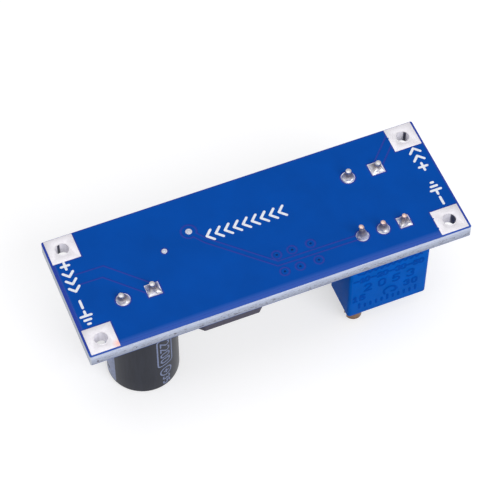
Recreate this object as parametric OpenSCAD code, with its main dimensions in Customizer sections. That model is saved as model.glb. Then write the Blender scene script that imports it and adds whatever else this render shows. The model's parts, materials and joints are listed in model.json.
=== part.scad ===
// Step-down converter module: a circuit board that carries two can capacitors, a
// power inductor, a five-lead regulator, a diode, small chip parts and a 25-turn
// trimmer. It lies with its solder side up and stands on its capacitors' ends.
// +Z is up, +X points to the input end. The origin is under the board's centre.

/* [Board] */
// Length of the board
board_l = 45; // [44:0.5:56]
// Width of the board
board_w = 16; // [15.5:0.1:20]
// Thickness of the board
board_t = 1.6; // [1:0.1:2.4]
// Radius of the board's corners
board_r = 0.2; // [0.1:0.05:1]

/* [Corner pads] */
// Side of a square corner pad
pad_size = 3.3; // [2.4:0.1:3.6]
// Diameter of the hole in a corner pad
hole_d = 1.5; // [0.9:0.05:2]
// Bare board between a corner pad and the end edge
pad_end_gap = 0.25; // [0.1:0.05:0.6]
// Bare board between a corner pad and the side edge
pad_side_gap = 0.125; // [0.08:0.005:0.4]
// How far the pads' pattern sits off centre, towards the far side
pad_shift = 0.07; // [0:0.01:0.07]
// Thickness of the tinned copper on both faces
pad_t = 0.05; // [0.035:0.005:0.1]
// Wall of the plating in a hole
lining_t = 0.05; // [0.03:0.01:0.1]

/* [Capacitors] */
// Diameter of a sleeved capacitor
cap_d = 8.25; // [6.3:0.05:8.3]
// Height of a capacitor above the board
cap_h = 12.3; // [11.8:0.1:16]
// Distance between a capacitor's leads
cap_pitch = 3.5; // [2.5:0.1:4]
// Diameter of a capacitor's lead
cap_lead_d = 0.6; // [0.5:0.05:0.7]
// Thickness of the printed sleeve
sleeve_t = 0.1; // [0.08:0.01:0.2]
// Wall of the aluminium can
can_t = 0.25; // [0.2:0.01:0.4]
// Height of the bead that grips the bung, above the board
bead_h = 2; // [1.6:0.1:2.6]
// Thickness of the rubber bung
bung_t = 2.7; // [2.2:0.1:3.4]
// Output end to the output capacitor's centre
out_cap_end = 7.57; // [7.3:0.01:8]
// Near side to the output capacitor's centre
out_cap_side = 5.57; // [4.6:0.01:6.5]
// Input end to the input capacitor's centre
in_cap_end = 8.27; // [8:0.01:8.6]
// Far side to the input capacitor's centre
in_cap_side = 4.64; // [4.3:0.01:4.8]

/* [Trimmer] */
// Length of the trimmer's housing
trim_l = 9.8; // [9.3:0.01:10]
// Thickness of the trimmer's housing
trim_w = 5; // [4.6:0.01:5.2]
// Height of the trimmer's housing above the board
trim_h = 10.03; // [9.8:0.01:10.2]
// Wall of the trimmer's housing
trim_wall = 0.45; // [0.35:0.01:0.5]
// Height of the feet that lift the housing off the board
trim_foot = 0.3; // [0.2:0.05:0.5]
// Distance between the trimmer's pins
trim_pitch = 2.54; // [2.4:0.01:2.6]
// Diameter of a trimmer pin
trim_pin_d = 0.51; // [0.4:0.01:0.6]
// Input end to the middle of the trimmer
trim_end = 9.21; // [8.8:0.01:9.6]
// Near side to the row of trimmer pins
trim_side = 3.45; // [3.2:0.01:3.9]

/* [Trimmer drive] */
// Diameter of the adjusting screw's head
screw_d = 2; // [1.9:0.01:2.2]
// How far the screw's head stands out of the housing
screw_out = 1.6; // [1:0.1:1.7]
// Screw's axis to the end wall and to the side wall's outer face
screw_in = 1.27; // [1.25:0.01:1.4]
// Width of the screwdriver slot
slot_w = 0.56; // [0.4:0.02:0.7]
// Depth of the screwdriver slot
slot_depth = 0.76; // [0.5:0.02:1]
// Pitch radius of the worm
worm_r = 0.6; // [0.58:0.01:0.63]
// Teeth on the rotor, one passed by each turn of the screw
rotor_teeth = 36; // [30:2:40]
// Thickness of the rotor's toothed disc
rotor_t = 1.2; // [0.8:0.1:1.3]
// Diameter of the rotor's axle
axle_d = 1.3; // [1:0.1:1.8]
// Thickness of the ceramic plate with the resistive track
element_t = 0.6; // [0.5:0.05:0.8]
// Radial play of the screw and the axle in their holes
run_fit = 0.04; // [0.02:0.01:0.06]
// Play between a worm flank and a rotor tooth
tooth_gap = 0.055; // [0.05:0.005:0.08]

/* [Inductor] */
// Length of the inductor
ind_l = 10.1; // [9:0.1:10.3]
// Width of the inductor
ind_w = 10.05; // [9:0.05:11]
// Height of the inductor above its pads
ind_h = 4.25; // [3:0.1:6]
// Near side to the inductor's middle
ind_side = 6.95; // [6.6:0.05:8]
// Gap between the output capacitor and the inductor
ind_gap = 0.35; // [0.3:0.05:0.6]
// Size of the chamfer on the shield's corners
ind_chamfer = 1.8; // [1:0.1:2.2]
// Diameter of the drum core's flanges
drum_d = 7.6; // [7:0.1:7.8]
// Thickness of a drum flange
flange_t = 0.85; // [0.6:0.05:1]
// Diameter of the winding wire
wire_d = 0.4; // [0.3:0.05:0.5]

/* [Regulator] */
// Width of the regulator's body, across its leads
reg_w = 6.6; // [6:0.1:6.7]
// Length of the regulator's body
reg_l = 6.1; // [5.6:0.1:6.3]
// Height of the regulator's body
reg_h = 2.3; // [2:0.05:2.6]
// Distance between the regulator's leads
reg_pitch = 1.27; // [1.1:0.01:1.3]
// Thickness of the regulator's tab and leads
reg_metal = 0.5; // [0.4:0.02:0.6]
// Near side to the end of the regulator's tab
reg_side = 1; // [0.8:0.05:1.4]
// Gap between the inductor and the regulator
reg_gap = 0.35; // [0.2:0.05:0.4]

/* [Small parts] */
// Length of the diode's body
diode_l = 4.3; // [4:0.1:4.5]
// Width of the diode's body
diode_w = 2.6; // [2.4:0.1:2.8]
// Height of the diode's body
diode_h = 2.2; // [1.9:0.1:2.4]
// Gap between the regulator and the column of chip parts
chip_gap = 0.45; // [0.3:0.05:0.5]

/* [Solder] */
// Diameter of the copper ring round a capacitor lead
cap_ring_d = 1.6; // [1.4:0.05:1.8]
// Diameter of the copper ring round a trimmer pin
trim_ring_d = 1.45; // [1.3:0.05:1.6]
// Play between a lead and its plated hole
lead_fit = 0.1; // [0.05:0.01:0.15]
// Thickness of the solder that climbs a lead
solder_coat = 0.05; // [0.03:0.01:0.08]

/* [Hidden] */

$fn = 48;
over = 0.2;                 // how far a cutter runs past the face it opens
comp_z = cap_h;             // component face, which looks down
solder_z = comp_z + board_t; // solder face, which looks up

// Colours
mask_blue = [0.05, 0.28, 0.62];
tin = [0.86, 0.86, 0.9];
solder_grey = [0.72, 0.72, 0.76];
copper = [0.8, 0.5, 0.32];
epoxy = [0.13, 0.13, 0.14];
ferrite = [0.27, 0.27, 0.29];

// Plan places on the board
left = -board_l/2;
right = board_l/2;
near = -board_w/2;
far = board_w/2;
pad_x = board_l/2 - pad_end_gap - pad_size/2;
pad_y = board_w/2 - pad_side_gap - pad_size/2;
out_cap = [left + out_cap_end, near + out_cap_side];
in_cap = [right - in_cap_end, far - in_cap_side];
trimmer = [right - trim_end, near + trim_side];
inductor = [out_cap.x + cap_d/2 + ind_gap + ind_l/2, near + ind_side];
reg_tab_out = 1;            // how far the tab stands out of the body
regulator = [inductor.x + ind_l/2 + reg_gap + reg_w/2,
             near + reg_side + reg_tab_out + reg_l/2];
reg_right = regulator.x + reg_w/2;
diode_foot = 0.45;          // how far a terminal stands out of the diode's body
diode = [regulator.x - 0.7, far - 2.4];

// Through-hole leads: place, square pad or round, height of the tip above the board
function pair(at) = [[at.x - cap_pitch/2, at.y], [at.x + cap_pitch/2, at.y]];
out_leads = pair(out_cap);
out_tips = [1.1, 1.3];
in_leads = pair(in_cap);
in_tips = [1.35, 1.05];
trim_pins = [for (i = [-1:1]) [trimmer.x + i*trim_pitch, trimmer.y]];
trim_tips = [2, 1.4, 1.3];

// Vias: the two bare ones, and the six under the regulator's tab
bare_vias = [[inductor.x - 1.43, inductor.y + 4.3], [inductor.x - 4.86, inductor.y + 2.87]];
heat_vias = [for (x = [-2.32, -0.49, 1.73], y = [-0.36, -2.71])
             [regulator.x + x, regulator.y + y]];
via_d = 0.4;
via_ring_d = 0.84;

// Chip parts stand in a column right of the regulator; the last one is by the output
// capacitor. Each is [centre, length, width, height, end length, turn].
chip_x = reg_right + chip_gap + 1;
input_chip = [[chip_x + 0.15, far - 2.45], 3.2, 1.6, 1.2, 0.5, 90];
supply_chip = [[chip_x, far - 5.9], 2, 1.25, 0.9, 0.4, 0];
output_chip = [[out_cap.x, far - 3.3], 3.2, 1.6, 1.2, 0.5, 0];
sense_chip = [[chip_x - 0.1, far - 7.65], 1.6, 0.8, 0.45, 0.3, 0];
trim_chip = [[chip_x - 0.1, far - 9.1], 1.6, 0.8, 0.45, 0.3, 0];
chip_capacitors = [input_chip, supply_chip, output_chip];
chip_resistors = [sense_chip, trim_chip];

// ---- shared shapes ----

// Turns a part over, so that its own +Z points down from the component face
module under_board(at) {
    translate([at.x, at.y, comp_z]) rotate([180, 0, 0]) children();
}

module bar(size) {
    translate([-size.x/2, -size.y/2, 0]) cube(size);
}

module rounded_bar(size, r) {
    linear_extrude(size.z) {
        square([size.x - 2*r, size.y], center = true);
        square([size.x, size.y - 2*r], center = true);
        for (x = [-1, 1], y = [-1, 1])
            translate([x*(size.x/2 - r), y*(size.y/2 - r)]) circle(r);
    }
}

function arc(centre, r, from, to, steps) =
    [for (i = [0:steps]) let (a = from + (to - from)*i/steps) centre + r*[cos(a), sin(a)]];

// A moulded body with a draft above and below its parting line
module moulded(l, w, h, parting, draft) {
    function side(s) = [
        [-s/2 + draft/2, 0], [s/2 - draft/2, 0], [s/2, parting],
        [s/2 - draft, h], [-s/2 + draft, h], [-s/2, parting]];
    intersection() {
        translate([0, w/2, 0]) rotate([90, 0, 0]) linear_extrude(w) polygon(side(l));
        translate([-l/2, 0, 0]) rotate([90, 0, 90]) linear_extrude(l) polygon(side(w));
    }
}

// ---- board and plating ----

module corner_hole(d) {
    for (x = [-1, 1], y = [-1, 1])
        translate([x*pad_x, y*pad_y + pad_shift, comp_z - over])
            cylinder(d = d, h = board_t + 2*over);
}

module lead_bores(grow) {
    for (at = concat(out_leads, in_leads))
        translate([at.x, at.y, comp_z - over])
            cylinder(d = cap_lead_d + 2*lead_fit + 2*grow, h = board_t + 2*over);
    for (at = trim_pins)
        translate([at.x, at.y, comp_z - over])
            cylinder(d = trim_pin_d + 2*lead_fit + 2*grow, h = board_t + 2*over);
}

module printed_circuit_board() {
    color(mask_blue) difference() {
        translate([0, 0, comp_z]) rounded_bar([board_l, board_w, board_t], board_r);
        corner_hole(hole_d + 2*lining_t);
        lead_bores(lining_t);
        for (at = concat(bare_vias, heat_vias))
            translate([at.x, at.y, comp_z - over]) cylinder(d = via_d, h = board_t + 2*over);
    }
}

module corner_pad(x, y) {
    color(tin) translate([x*pad_x, y*pad_y + pad_shift, comp_z - pad_t]) difference() {
        union() {
            bar([pad_size, pad_size, pad_t]);
            translate([0, 0, board_t + pad_t]) bar([pad_size, pad_size, pad_t]);
            cylinder(d = hole_d + 2*lining_t, h = board_t + 2*pad_t);
        }
        translate([0, 0, -over]) cylinder(d = hole_d, h = board_t + 2*pad_t + 2*over);
    }
}

// A ring of copper on both faces, round or square, and the plating between them
module lining(at, inner_d, ring_d, square_ring) {
    translate([at.x, at.y, comp_z - pad_t]) difference() {
        union() {
            for (z = [0, board_t + pad_t]) translate([0, 0, z])
                if (square_ring) bar([ring_d, ring_d, pad_t]);
                else cylinder(d = ring_d, h = pad_t);
            cylinder(d = inner_d + 2*lining_t, h = board_t + 2*pad_t);
        }
        translate([0, 0, -over]) cylinder(d = inner_d, h = board_t + 2*pad_t + 2*over);
    }
}

module lead_hole_linings() {
    color(tin) {
        for (i = [0, 1], leads = [out_leads, in_leads])
            lining(leads[i], cap_lead_d + 2*lead_fit, cap_ring_d, i == 1);
        for (i = [0:2])
            lining(trim_pins[i], trim_pin_d + 2*lead_fit, trim_ring_d, i == 2);
    }
}

module vias() {
    color(tin) {
        for (at = bare_vias) lining(at, via_d - 2*lining_t, via_ring_d, false);
        for (at = heat_vias) translate([at.x, at.y, comp_z]) difference() {
            union() {
                cylinder(d = via_d, h = board_t + pad_t);
                translate([0, 0, board_t]) cylinder(d = via_ring_d, h = pad_t);
            }
            translate([0, 0, -over])
                cylinder(d = via_d - 2*lining_t, h = board_t + pad_t + 2*over);
        }
    }
}

// ---- capacitors, standing on the component face; own z runs down from it ----

can_r = cap_d/2 - sleeve_t;
can_foot = sleeve_t;
can_top = cap_h - sleeve_t;
can_round = 0.3;            // radius of the can's corners
bead_r = 0.4;               // section radius of the rolled bead
bead_out = 0.12;            // bead's centre outside the can's wall
rim_w = 0.9;                // how far the curled rim grips over the bung
mouth_r = can_r - rim_w;
// How far the sleeve's ends turn in, clear of the copper rings on the component face
lip = min(0.7, can_r - norm([cap_pitch + cap_ring_d, cap_ring_d])/2 - 0.05);

// The can's outer form, taken in by a depth; a negative depth lets it out
module can_form(depth) {
    r = can_r - depth;
    bottom = can_foot + depth;
    top = can_top - depth;
    c = can_round - depth;
    difference() {
        rotate_extrude() polygon(concat(
            [[0, bottom]], arc([r - c, bottom + c], c, -90, 0, 5),
            arc([r - c, top - c], c, 0, 90, 5), [[0, top]]));
        rotate_extrude() translate([can_r + bead_out, bead_h]) circle(bead_r + depth);
    }
}

module capacitor_can(at) {
    score = [2*(mouth_r - 0.3), 0.2, 0.1];
    color([0.8, 0.81, 0.83]) under_board(at) difference() {
        can_form(0);
        can_form(can_t);
        translate([0, 0, can_foot - over]) cylinder(r = mouth_r, h = can_t + 2*over);
        for (turn = [45, 135]) rotate(turn)
            translate([0, 0, can_top - score.z]) bar([score.x, score.y, score.z + over]);
    }
}

module capacitor_sleeve(at) {
    color([0.16, 0.17, 0.2]) under_board(at) difference() {
        can_form(-sleeve_t);
        can_form(0);
        translate([0, 0, -over]) cylinder(r = can_r - lip, h = cap_h + 2*over);
    }
}

bung_top = can_foot + can_t + bung_t;

module capacitor_bung(at) {
    color([0.1, 0.1, 0.1]) under_board(at) difference() {
        intersection() {
            can_form(can_t);
            translate([0, 0, -over]) cylinder(r = cap_d, h = bung_top + over);
        }
        for (x = [-1, 1]) translate([x*cap_pitch/2, 0, -over])
            cylinder(d = cap_lead_d, h = bung_top + 2*over);
    }
}

roll_gap = 0.2;             // from the roll to the can, and to its closed end

module capacitor_winding(at) {
    color([0.75, 0.7, 0.6]) under_board(at) translate([0, 0, bung_top]) difference() {
        cylinder(r = can_r - can_t - roll_gap, h = can_top - can_t - roll_gap - bung_top);
        translate([0, 0, -over]) cylinder(r = 0.5, h = cap_h);
    }
}

module capacitor_leads(at, tips) {
    color(tin) under_board(at) for (i = [0, 1]) {
        reach = board_t + tips[i];
        translate([(i - 0.5)*cap_pitch, 0, -reach])
            cylinder(d = cap_lead_d, h = reach + bung_top);
    }
}

module output_capacitor_can() capacitor_can(out_cap);
module output_capacitor_sleeve() capacitor_sleeve(out_cap);
module output_capacitor_bung() capacitor_bung(out_cap);
module output_capacitor_winding() capacitor_winding(out_cap);
module output_capacitor_leads() capacitor_leads(out_cap, out_tips);
module input_capacitor_can() capacitor_can(in_cap);
module input_capacitor_sleeve() capacitor_sleeve(in_cap);
module input_capacitor_bung() capacitor_bung(in_cap);
module input_capacitor_winding() capacitor_winding(in_cap);
module input_capacitor_leads() capacitor_leads(in_cap, in_tips);

// ---- trimmer; own z runs down from the component face, own y to the near side ----

inner_x = trim_l/2 - trim_wall;
inner_y = trim_w/2 - trim_wall;
screw_at = [-trim_l/2 + screw_in, trim_w/2 - screw_in];
head_sunk = 1.15;           // how deep the screw's head sits in the housing
boss_t = 0.4;               // ledge under the head
head_seat = trim_h - head_sunk;
boss_foot = head_seat - boss_t;
clip_t = 0.2;
clip_play = 0.04;           // end play of the screw at its clip
base_z = 1.05;              // top of the base plug
socket_h = 0.5;             // how far the plug's socket for the screw stands up
journal_r = 0.4;
addendum = 0.12;
dedendum = 0.2;
tip_gap = 0.03;             // from a rotor tooth to the worm's core
// The rotor fills the room between the worm and the far end wall, or down to the base
// plug where that is less
rotor_room = 0.1;           // least gap round the rotor
rotor_z = base_z + (boss_foot - base_z)/2 + 0.17;
rotor_r = min((inner_x - rotor_room - screw_at.x - worm_r - addendum)/2,
              rotor_z - base_z - rotor_room - addendum);
rotor_x = screw_at.x + worm_r + rotor_r;
rotor_y = screw_at.y + rotor_t/2;   // face towards the near wall
lead = 2*PI*rotor_r/rotor_teeth;    // advance of the worm in one turn
element_y = -trim_pin_d/2;          // track face, which the pins' sides touch
wiper_t = 0.12;
wiper_play = 0.03;          // from a wiper finger to the track

// Half width of the worm's thread at its root and tip, and the slope between them
thread_root = 0.19;
thread_tip = 0.07;
worm_root_r = worm_r - addendum - tip_gap;
worm_tip_r = worm_r + dedendum - 0.05;
flank = (thread_root - thread_tip)/(worm_tip_r - worm_root_r);

module trimmer_place() { under_board(trimmer) children(); }

module trimmer_housing() {
    foot = [1.1, trim_wall, trim_foot + over];
    color([0.02, 0.3, 0.68]) trimmer_place() difference() {
        union() {
            translate([0, 0, trim_foot])
                rounded_bar([trim_l, trim_w, trim_h - trim_foot], 0.4);
            for (x = [-1, 1], y = [-1, 1])
                translate([x*(trim_l/2 - 0.8), y*(trim_w - trim_wall)/2, 0]) bar(foot);
        }
        difference() {
            translate([0, 0, trim_foot - over])
                bar([2*inner_x, 2*inner_y, trim_h - trim_foot - trim_wall + over]);
            // the boss that carries the screw, and ribs that back the ceramic plate
            translate([-trim_l/2, screw_at.y - screw_in, boss_foot])
                cube([2*screw_in, 2*screw_in, trim_h]);
            for (x = [-1, 1]) translate([x*(inner_x - 0.3) - 0.3, -trim_w/2, base_z])
                cube([0.6, trim_w/2 + element_y - element_t, trim_h]);
        }
        translate([screw_at.x, screw_at.y, head_seat])
            cylinder(r = screw_d/2 + run_fit, h = trim_h);
        translate([screw_at.x, screw_at.y, boss_foot - over])
            cylinder(r = worm_tip_r + run_fit, h = trim_h);
    }
}

module trimmer_base() {
    color([0.85, 0.8, 0.68]) trimmer_place() difference() {
        union() {
            translate([0, 0, trim_foot]) bar([2*inner_x, 2*inner_y, base_z - trim_foot]);
            translate([screw_at.x, screw_at.y, trim_foot])
                cylinder(r = journal_r + 0.35, h = base_z - trim_foot + socket_h);
        }
        translate([screw_at.x, screw_at.y, base_z - over])
            cylinder(r = journal_r + run_fit, h = trim_h);
        for (x = [-1:1]) translate([x*trim_pitch, 0, 0])
            cylinder(d = trim_pin_d, h = base_z + over);
    }
}

// A thread of trapezium section wound round own z, from ring after ring of four points
module worm_thread(from, to) {
    steps = 18;
    count = ceil(steps*(to - from)/lead);
    sunk = 0.04;            // how far the thread's root lies in the core
    root_half = thread_root + sunk*flank;
    section = [[worm_root_r - sunk, root_half], [worm_tip_r, thread_tip],
               [worm_tip_r, -thread_tip], [worm_root_r - sunk, -root_half]];
    points = [for (i = [0:count], p = section) let (a = 360*i/steps)
              [p.x*cos(a), p.x*sin(a), from + lead*i/steps + p.y]];
    sides = [for (i = [0:count - 1], k = [0:3]) let (a = 4*i + k, b = 4*i + (k + 1)%4)
             each [[a, b + 4, b], [a, a + 4, b + 4]]];
    polyhedron(points, concat([[0, 1, 2, 3]], sides, [[for (k = [3:-1:0]) 4*count + k]]));
}

neck_top = boss_foot + clip_play;
neck_foot = boss_foot - clip_t - clip_play;
collar_foot = neck_foot - 0.25;
core_foot = base_z + socket_h + 0.05;
groove_z = head_seat + 0.62;        // middle of the O-ring's groove
o_ring_r = 0.2;                     // section radius of the O-ring
groove_r = screw_d/2 - 0.38;
groove_half = 0.25;

module trimmer_screw() {
    head_end = trim_h + screw_out;
    color([0.62, 0.5, 0.3]) trimmer_place() translate([screw_at.x, screw_at.y, 0]) {
        difference() {
            rotate_extrude() polygon([
                [0, base_z - over/2], [journal_r, base_z - over/2],
                [journal_r, core_foot], [worm_root_r, core_foot],
                [worm_root_r, collar_foot], [worm_tip_r, collar_foot],
                [worm_tip_r, neck_foot], [worm_root_r, neck_foot],
                [worm_root_r, neck_top], [worm_tip_r, neck_top],
                [worm_tip_r, head_seat], [screw_d/2, head_seat],
                [screw_d/2, groove_z - groove_half], [groove_r, groove_z - groove_half],
                [groove_r, groove_z + groove_half], [screw_d/2, groove_z + groove_half],
                [screw_d/2, head_end - 0.1], [screw_d/2 - 0.1, head_end], [0, head_end]]);
            translate([0, 0, head_end - slot_depth])
                bar([screw_d + over, slot_w, slot_depth + over]);
        }
        // a crest faces the rotor's middle, where the rotor has a gap
        worm_thread(rotor_z - lead*floor((rotor_z - core_foot - thread_root)/lead),
                    collar_foot - thread_root - 0.01);
    }
}

module trimmer_screw_clip() {
    span = 2*(screw_in - trim_wall) + 0.2;
    slot = 2*(worm_root_r + run_fit);
    color([0.7, 0.7, 0.7]) trimmer_place()
        translate([-inner_x, inner_y - span, boss_foot - clip_t]) difference() {
            cube([span, span, clip_t]);
            translate([screw_in - trim_wall, span - screw_in + trim_wall, -over])
                cylinder(d = slot, h = clip_t + 2*over);
            translate([screw_in - trim_wall - slot/2, -over, -over])
                cube([slot, span - screw_in + trim_wall + over, clip_t + 2*over]);
        }
}

module trimmer_o_ring() {
    color([0.75, 0.3, 0.2]) trimmer_place() translate([screw_at.x, screw_at.y, groove_z])
        rotate_extrude() translate([groove_r + o_ring_r, 0]) circle(o_ring_r);
}

// One tooth's corners: root, tip, tip, root
function tooth(k) = let (
    mid = (k + 0.5)*360/rotor_teeth,
    thread_half = thread_root - flank*(worm_r - worm_root_r),
    half = lead/2 - thread_half - tooth_gap)
    [for (e = [[-dedendum, -1], [addendum, -1], [addendum, 1], [-dedendum, 1]])
     let (r = rotor_r + e[0], a = mid + e[1]*(half - flank*e[0])/r*180/PI)
     r*[cos(a), sin(a)]];

module rotor_place(y) {
    trimmer_place() translate([rotor_x, y, rotor_z]) rotate([90, 0, 0]) children();
}

module trimmer_rotor() {
    hub = inner_y - 0.03 - rotor_y;
    color([0.92, 0.9, 0.82]) {
        rotor_place(rotor_y) {
            linear_extrude(rotor_t) polygon([for (k = [0:rotor_teeth - 1]) each tooth(k)]);
            translate([0, 0, -hub]) cylinder(r = 1.2, h = hub);
            cylinder(d = axle_d, h = rotor_y - element_y + element_t + 0.05);
        }
    }
}

module trimmer_wiper() {
    back = rotor_y - rotor_t;
    tip = element_y + wiper_play;
    arm = [1, 2.9];
    color([0.85, 0.75, 0.45]) {
        rotor_place(back) linear_extrude(wiper_t) difference() {
            union() {
                circle(1.5);
                translate([-arm.x/2, 0]) square(arm);
            }
            circle(axle_d/2);
        }
        // fingers that run on the track and on the collector ring
        trimmer_place() for (r = [1.15, 2.6]) translate([rotor_x, 0, rotor_z + r - 0.2])
            linear_extrude(0.4) polygon([
                [-0.5, back - wiper_t], [-0.2, back - wiper_t], [0.35, tip + wiper_t],
                [0.6, tip + wiper_t], [0.6, tip], [0.2, tip]]);
    }
}

module trimmer_element() {
    plate = [2*inner_x - 0.1, element_t, boss_foot + 0.7 - base_z];
    color([0.94, 0.93, 0.9]) trimmer_place() difference() {
        translate([0, element_y - element_t/2, base_z]) bar(plate);
        translate([rotor_x, over, rotor_z]) rotate([90, 0, 0])
            cylinder(r = axle_d/2 + run_fit, h = trim_w);
    }
}

module trimmer_pins() {
    color(tin) trimmer_place() for (i = [0:2]) {
        reach = board_t + trim_tips[i];
        translate([(i - 1)*trim_pitch, 0, -reach])
            cylinder(d = trim_pin_d, h = reach + base_z + 1);
    }
}

// ---- inductor; own z runs down from the component face ----

clip_w = 3;                 // width of an inductor terminal
clip_metal = 0.2;
ind_foot = pad_t + clip_metal;      // underside of the shield and the core
flange_top = ind_foot + flange_t;
coil_top = ind_h + pad_t - flange_t;
tail_z = flange_top + wire_d/2;
clip_rise = tail_z + wire_d/2 + 0.2;

module inductor_core() {
    color(ferrite) under_board(inductor) rotate_extrude() polygon([
        [0, ind_foot], [drum_d/2, ind_foot], [drum_d/2, flange_top], [1.8, flange_top],
        [1.8, coil_top], [drum_d/2, coil_top], [drum_d/2, ind_h + pad_t - 0.1],
        [drum_d/2 - 0.1, ind_h + pad_t], [0, ind_h + pad_t]]);
}

module inductor_shield() {
    cut = ind_chamfer;
    x = ind_l/2;
    y = ind_w/2;
    color(ferrite) under_board(inductor) difference() {
        translate([0, 0, ind_foot]) linear_extrude(ind_h - clip_metal) polygon([
            [x - cut, -y], [x, -y + cut], [x, y - cut], [x - cut, y],
            [-x + cut, y], [-x, y - cut], [-x, -y + cut], [-x + cut, -y]]);
        cylinder(d = drum_d + 0.2, h = 2*ind_h);
        // recesses for the terminals, and passages for the wire's ends
        for (s = [-1, 1]) {
            translate([s*x, 0, 0]) bar([2*clip_metal, clip_w, clip_rise]);
            translate([s*drum_d/2, 0, 0]) bar([ind_l - drum_d, wire_d + 0.2, clip_rise]);
        }
    }
}

module inductor_winding() {
    rows = floor((coil_top - flange_top)/wire_d);
    pitch = (coil_top - flange_top)/rows;
    coil_r = drum_d/2 - 0.3 - wire_d/2;
    color(copper) under_board(inductor) {
        difference() {
            union() {
                translate([0, 0, flange_top]) cylinder(r = coil_r, h = coil_top - flange_top);
                for (i = [0:rows - 1]) translate([0, 0, flange_top + (i + 0.5)*pitch])
                    rotate_extrude() translate([coil_r, 0]) circle(wire_d/2);
            }
            translate([0, 0, flange_top - over]) cylinder(r = 1.8, h = ind_h);
        }
        for (turn = [0, 180]) rotate(turn) translate([coil_r - 0.3, 0, tail_z])
            rotate([0, 90, 0]) cylinder(d = wire_d, h = ind_l/2 - clip_metal - coil_r + 0.3);
    }
}

module inductor_terminals() {
    color(tin) under_board(inductor) for (s = [-1, 1]) {
        translate([s*(ind_l/2 - 1.1), 0, pad_t]) bar([2.2, clip_w, clip_metal]);
        translate([s*(ind_l/2 - clip_metal/2), 0, pad_t])
            bar([clip_metal, clip_w, clip_rise - pad_t]);
    }
}

// ---- regulator; own y runs to the near side, so its leads point to own -y ----

lead_w = 0.6;
lead_reach = 2.8;           // from the body to a lead's end
short_reach = 0.7;          // the middle lead is cropped

module regulator_tab_form() {
    translate([0, (reg_l/2 + reg_tab_out - 1)/2, pad_t])
        bar([5.2, reg_l/2 + reg_tab_out + 1, reg_metal]);
}

// The leads' side profile, own x away from the body's face
module gull(reach) {
    z = pad_t + reg_metal;
    intersection() {
        polygon([[-1, z + 0.1], [0.3, z + 0.1], [0.85, pad_t], [lead_reach, pad_t],
                 [lead_reach, z], [1.15, z], [0.6, z + 0.1 + reg_metal],
                 [-1, z + 0.1 + reg_metal]]);
        translate([-2, 0]) square([2 + reach, reg_h]);
    }
}

module regulator_lead_forms() {
    for (i = [-2:2]) translate([i*reg_pitch + lead_w/2, -reg_l/2, 0])
        rotate([90, 0, -90]) linear_extrude(lead_w) gull(i == 0 ? short_reach : lead_reach);
}

module regulator_body() {
    color(epoxy) under_board(regulator) difference() {
        translate([0, 0, pad_t])
            moulded(reg_w, reg_l, reg_h, 0.1 + 1.5*reg_metal, 0.35);
        regulator_tab_form();
        regulator_lead_forms();
        translate([-reg_w/2 + 1.1, -reg_l/2 + 1.1, reg_h + pad_t - 0.08])
            cylinder(r = 0.4, h = over);
    }
}

module regulator_heat_tab() {
    color(tin) under_board(regulator) regulator_tab_form();
}

module regulator_leads() {
    color(tin) under_board(regulator) regulator_lead_forms();
}

// ---- diode, along X; own z runs down from the component face ----

strap_w = 1.5;
strap_t = 0.2;

module diode_strap() {
    top = pad_t + 1.2;
    translate([0, strap_w/2, 0]) rotate([90, 0, 0]) linear_extrude(strap_w) {
        translate([diode_l/2 - 0.6, top - strap_t]) square([0.6 + diode_foot, strap_t]);
        translate([diode_l/2 + diode_foot - strap_t, pad_t]) square([strap_t, top - pad_t]);
        translate([diode_l/2 - 0.9, pad_t]) square([0.9 + diode_foot, strap_t]);
    }
}

module diode_straps() {
    for (turn = [0, 180]) rotate(turn) diode_strap();
}

module diode_body() {
    color(epoxy) under_board(diode) difference() {
        translate([0, 0, pad_t + strap_t])
            moulded(diode_l, diode_w, diode_h - strap_t, 0.9, 0.3);
        diode_straps();
    }
}

module diode_terminals() {
    color(tin) under_board(diode) diode_straps();
}

// ---- chip parts ----

wrap_t = 0.03;              // how far a chip's metal end stands out of its body

module chip_place(chip) {
    under_board(chip[0]) translate([0, 0, pad_t]) rotate(chip[5]) children();
}

module chip_middle(chip) {
    chip_place(chip) translate([0, 0, wrap_t])
        bar([chip[1] - 2*chip[4], chip[2] - 2*wrap_t, chip[3] - 2*wrap_t]);
}

module chip_ends(chip) {
    chip_place(chip) for (s = [-1, 1])
        translate([s*(chip[1] - chip[4])/2, 0, 0]) bar([chip[4], chip[2], chip[3]]);
}

module chip_capacitor_bodies() {
    color([0.72, 0.58, 0.42]) for (chip = chip_capacitors) chip_middle(chip);
}

module chip_capacitor_ends() {
    color(tin) for (chip = chip_capacitors) chip_ends(chip);
}

module chip_resistor_bodies() {
    color(epoxy) for (chip = chip_resistors) chip_middle(chip);
}

module chip_resistor_ends() {
    color(tin) for (chip = chip_resistors) chip_ends(chip);
}

// ---- bare pads under the surface-mounted parts, and their solder ----

pad_rim = 0.45;             // how far a pad shows past the end that it carries

// Each terminal's foot: [centre, reach towards the pad's outer end, width, turn,
// height of the solder]. The foot is a square whose outer end faces the turn.
function chip_feet(chip) = [for (s = [0, 180])
    [chip[0], chip[1]/2, chip[2], chip[5] + s, 0.6*chip[3], chip[4] + 0.1]];
feet = concat(
    [for (chip = concat(chip_capacitors, chip_resistors)) each chip_feet(chip)],
    [for (s = [0, 180]) [diode, diode_l/2 + diode_foot, strap_w, s, 0.7, 1.3]],
    [for (s = [0, 180]) [inductor, ind_l/2, clip_w, s, 0.9, 2.2]],
    [for (i = [-2, -1, 1, 2]) [[regulator.x + i*reg_pitch, regulator.y],
                               reg_l/2 + lead_reach, lead_w, 90, 0.35, 1.7]],
    [[regulator, reg_l/2 + reg_tab_out, 5.2, -90, 0.4, reg_l/2 + 2]]);

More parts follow.
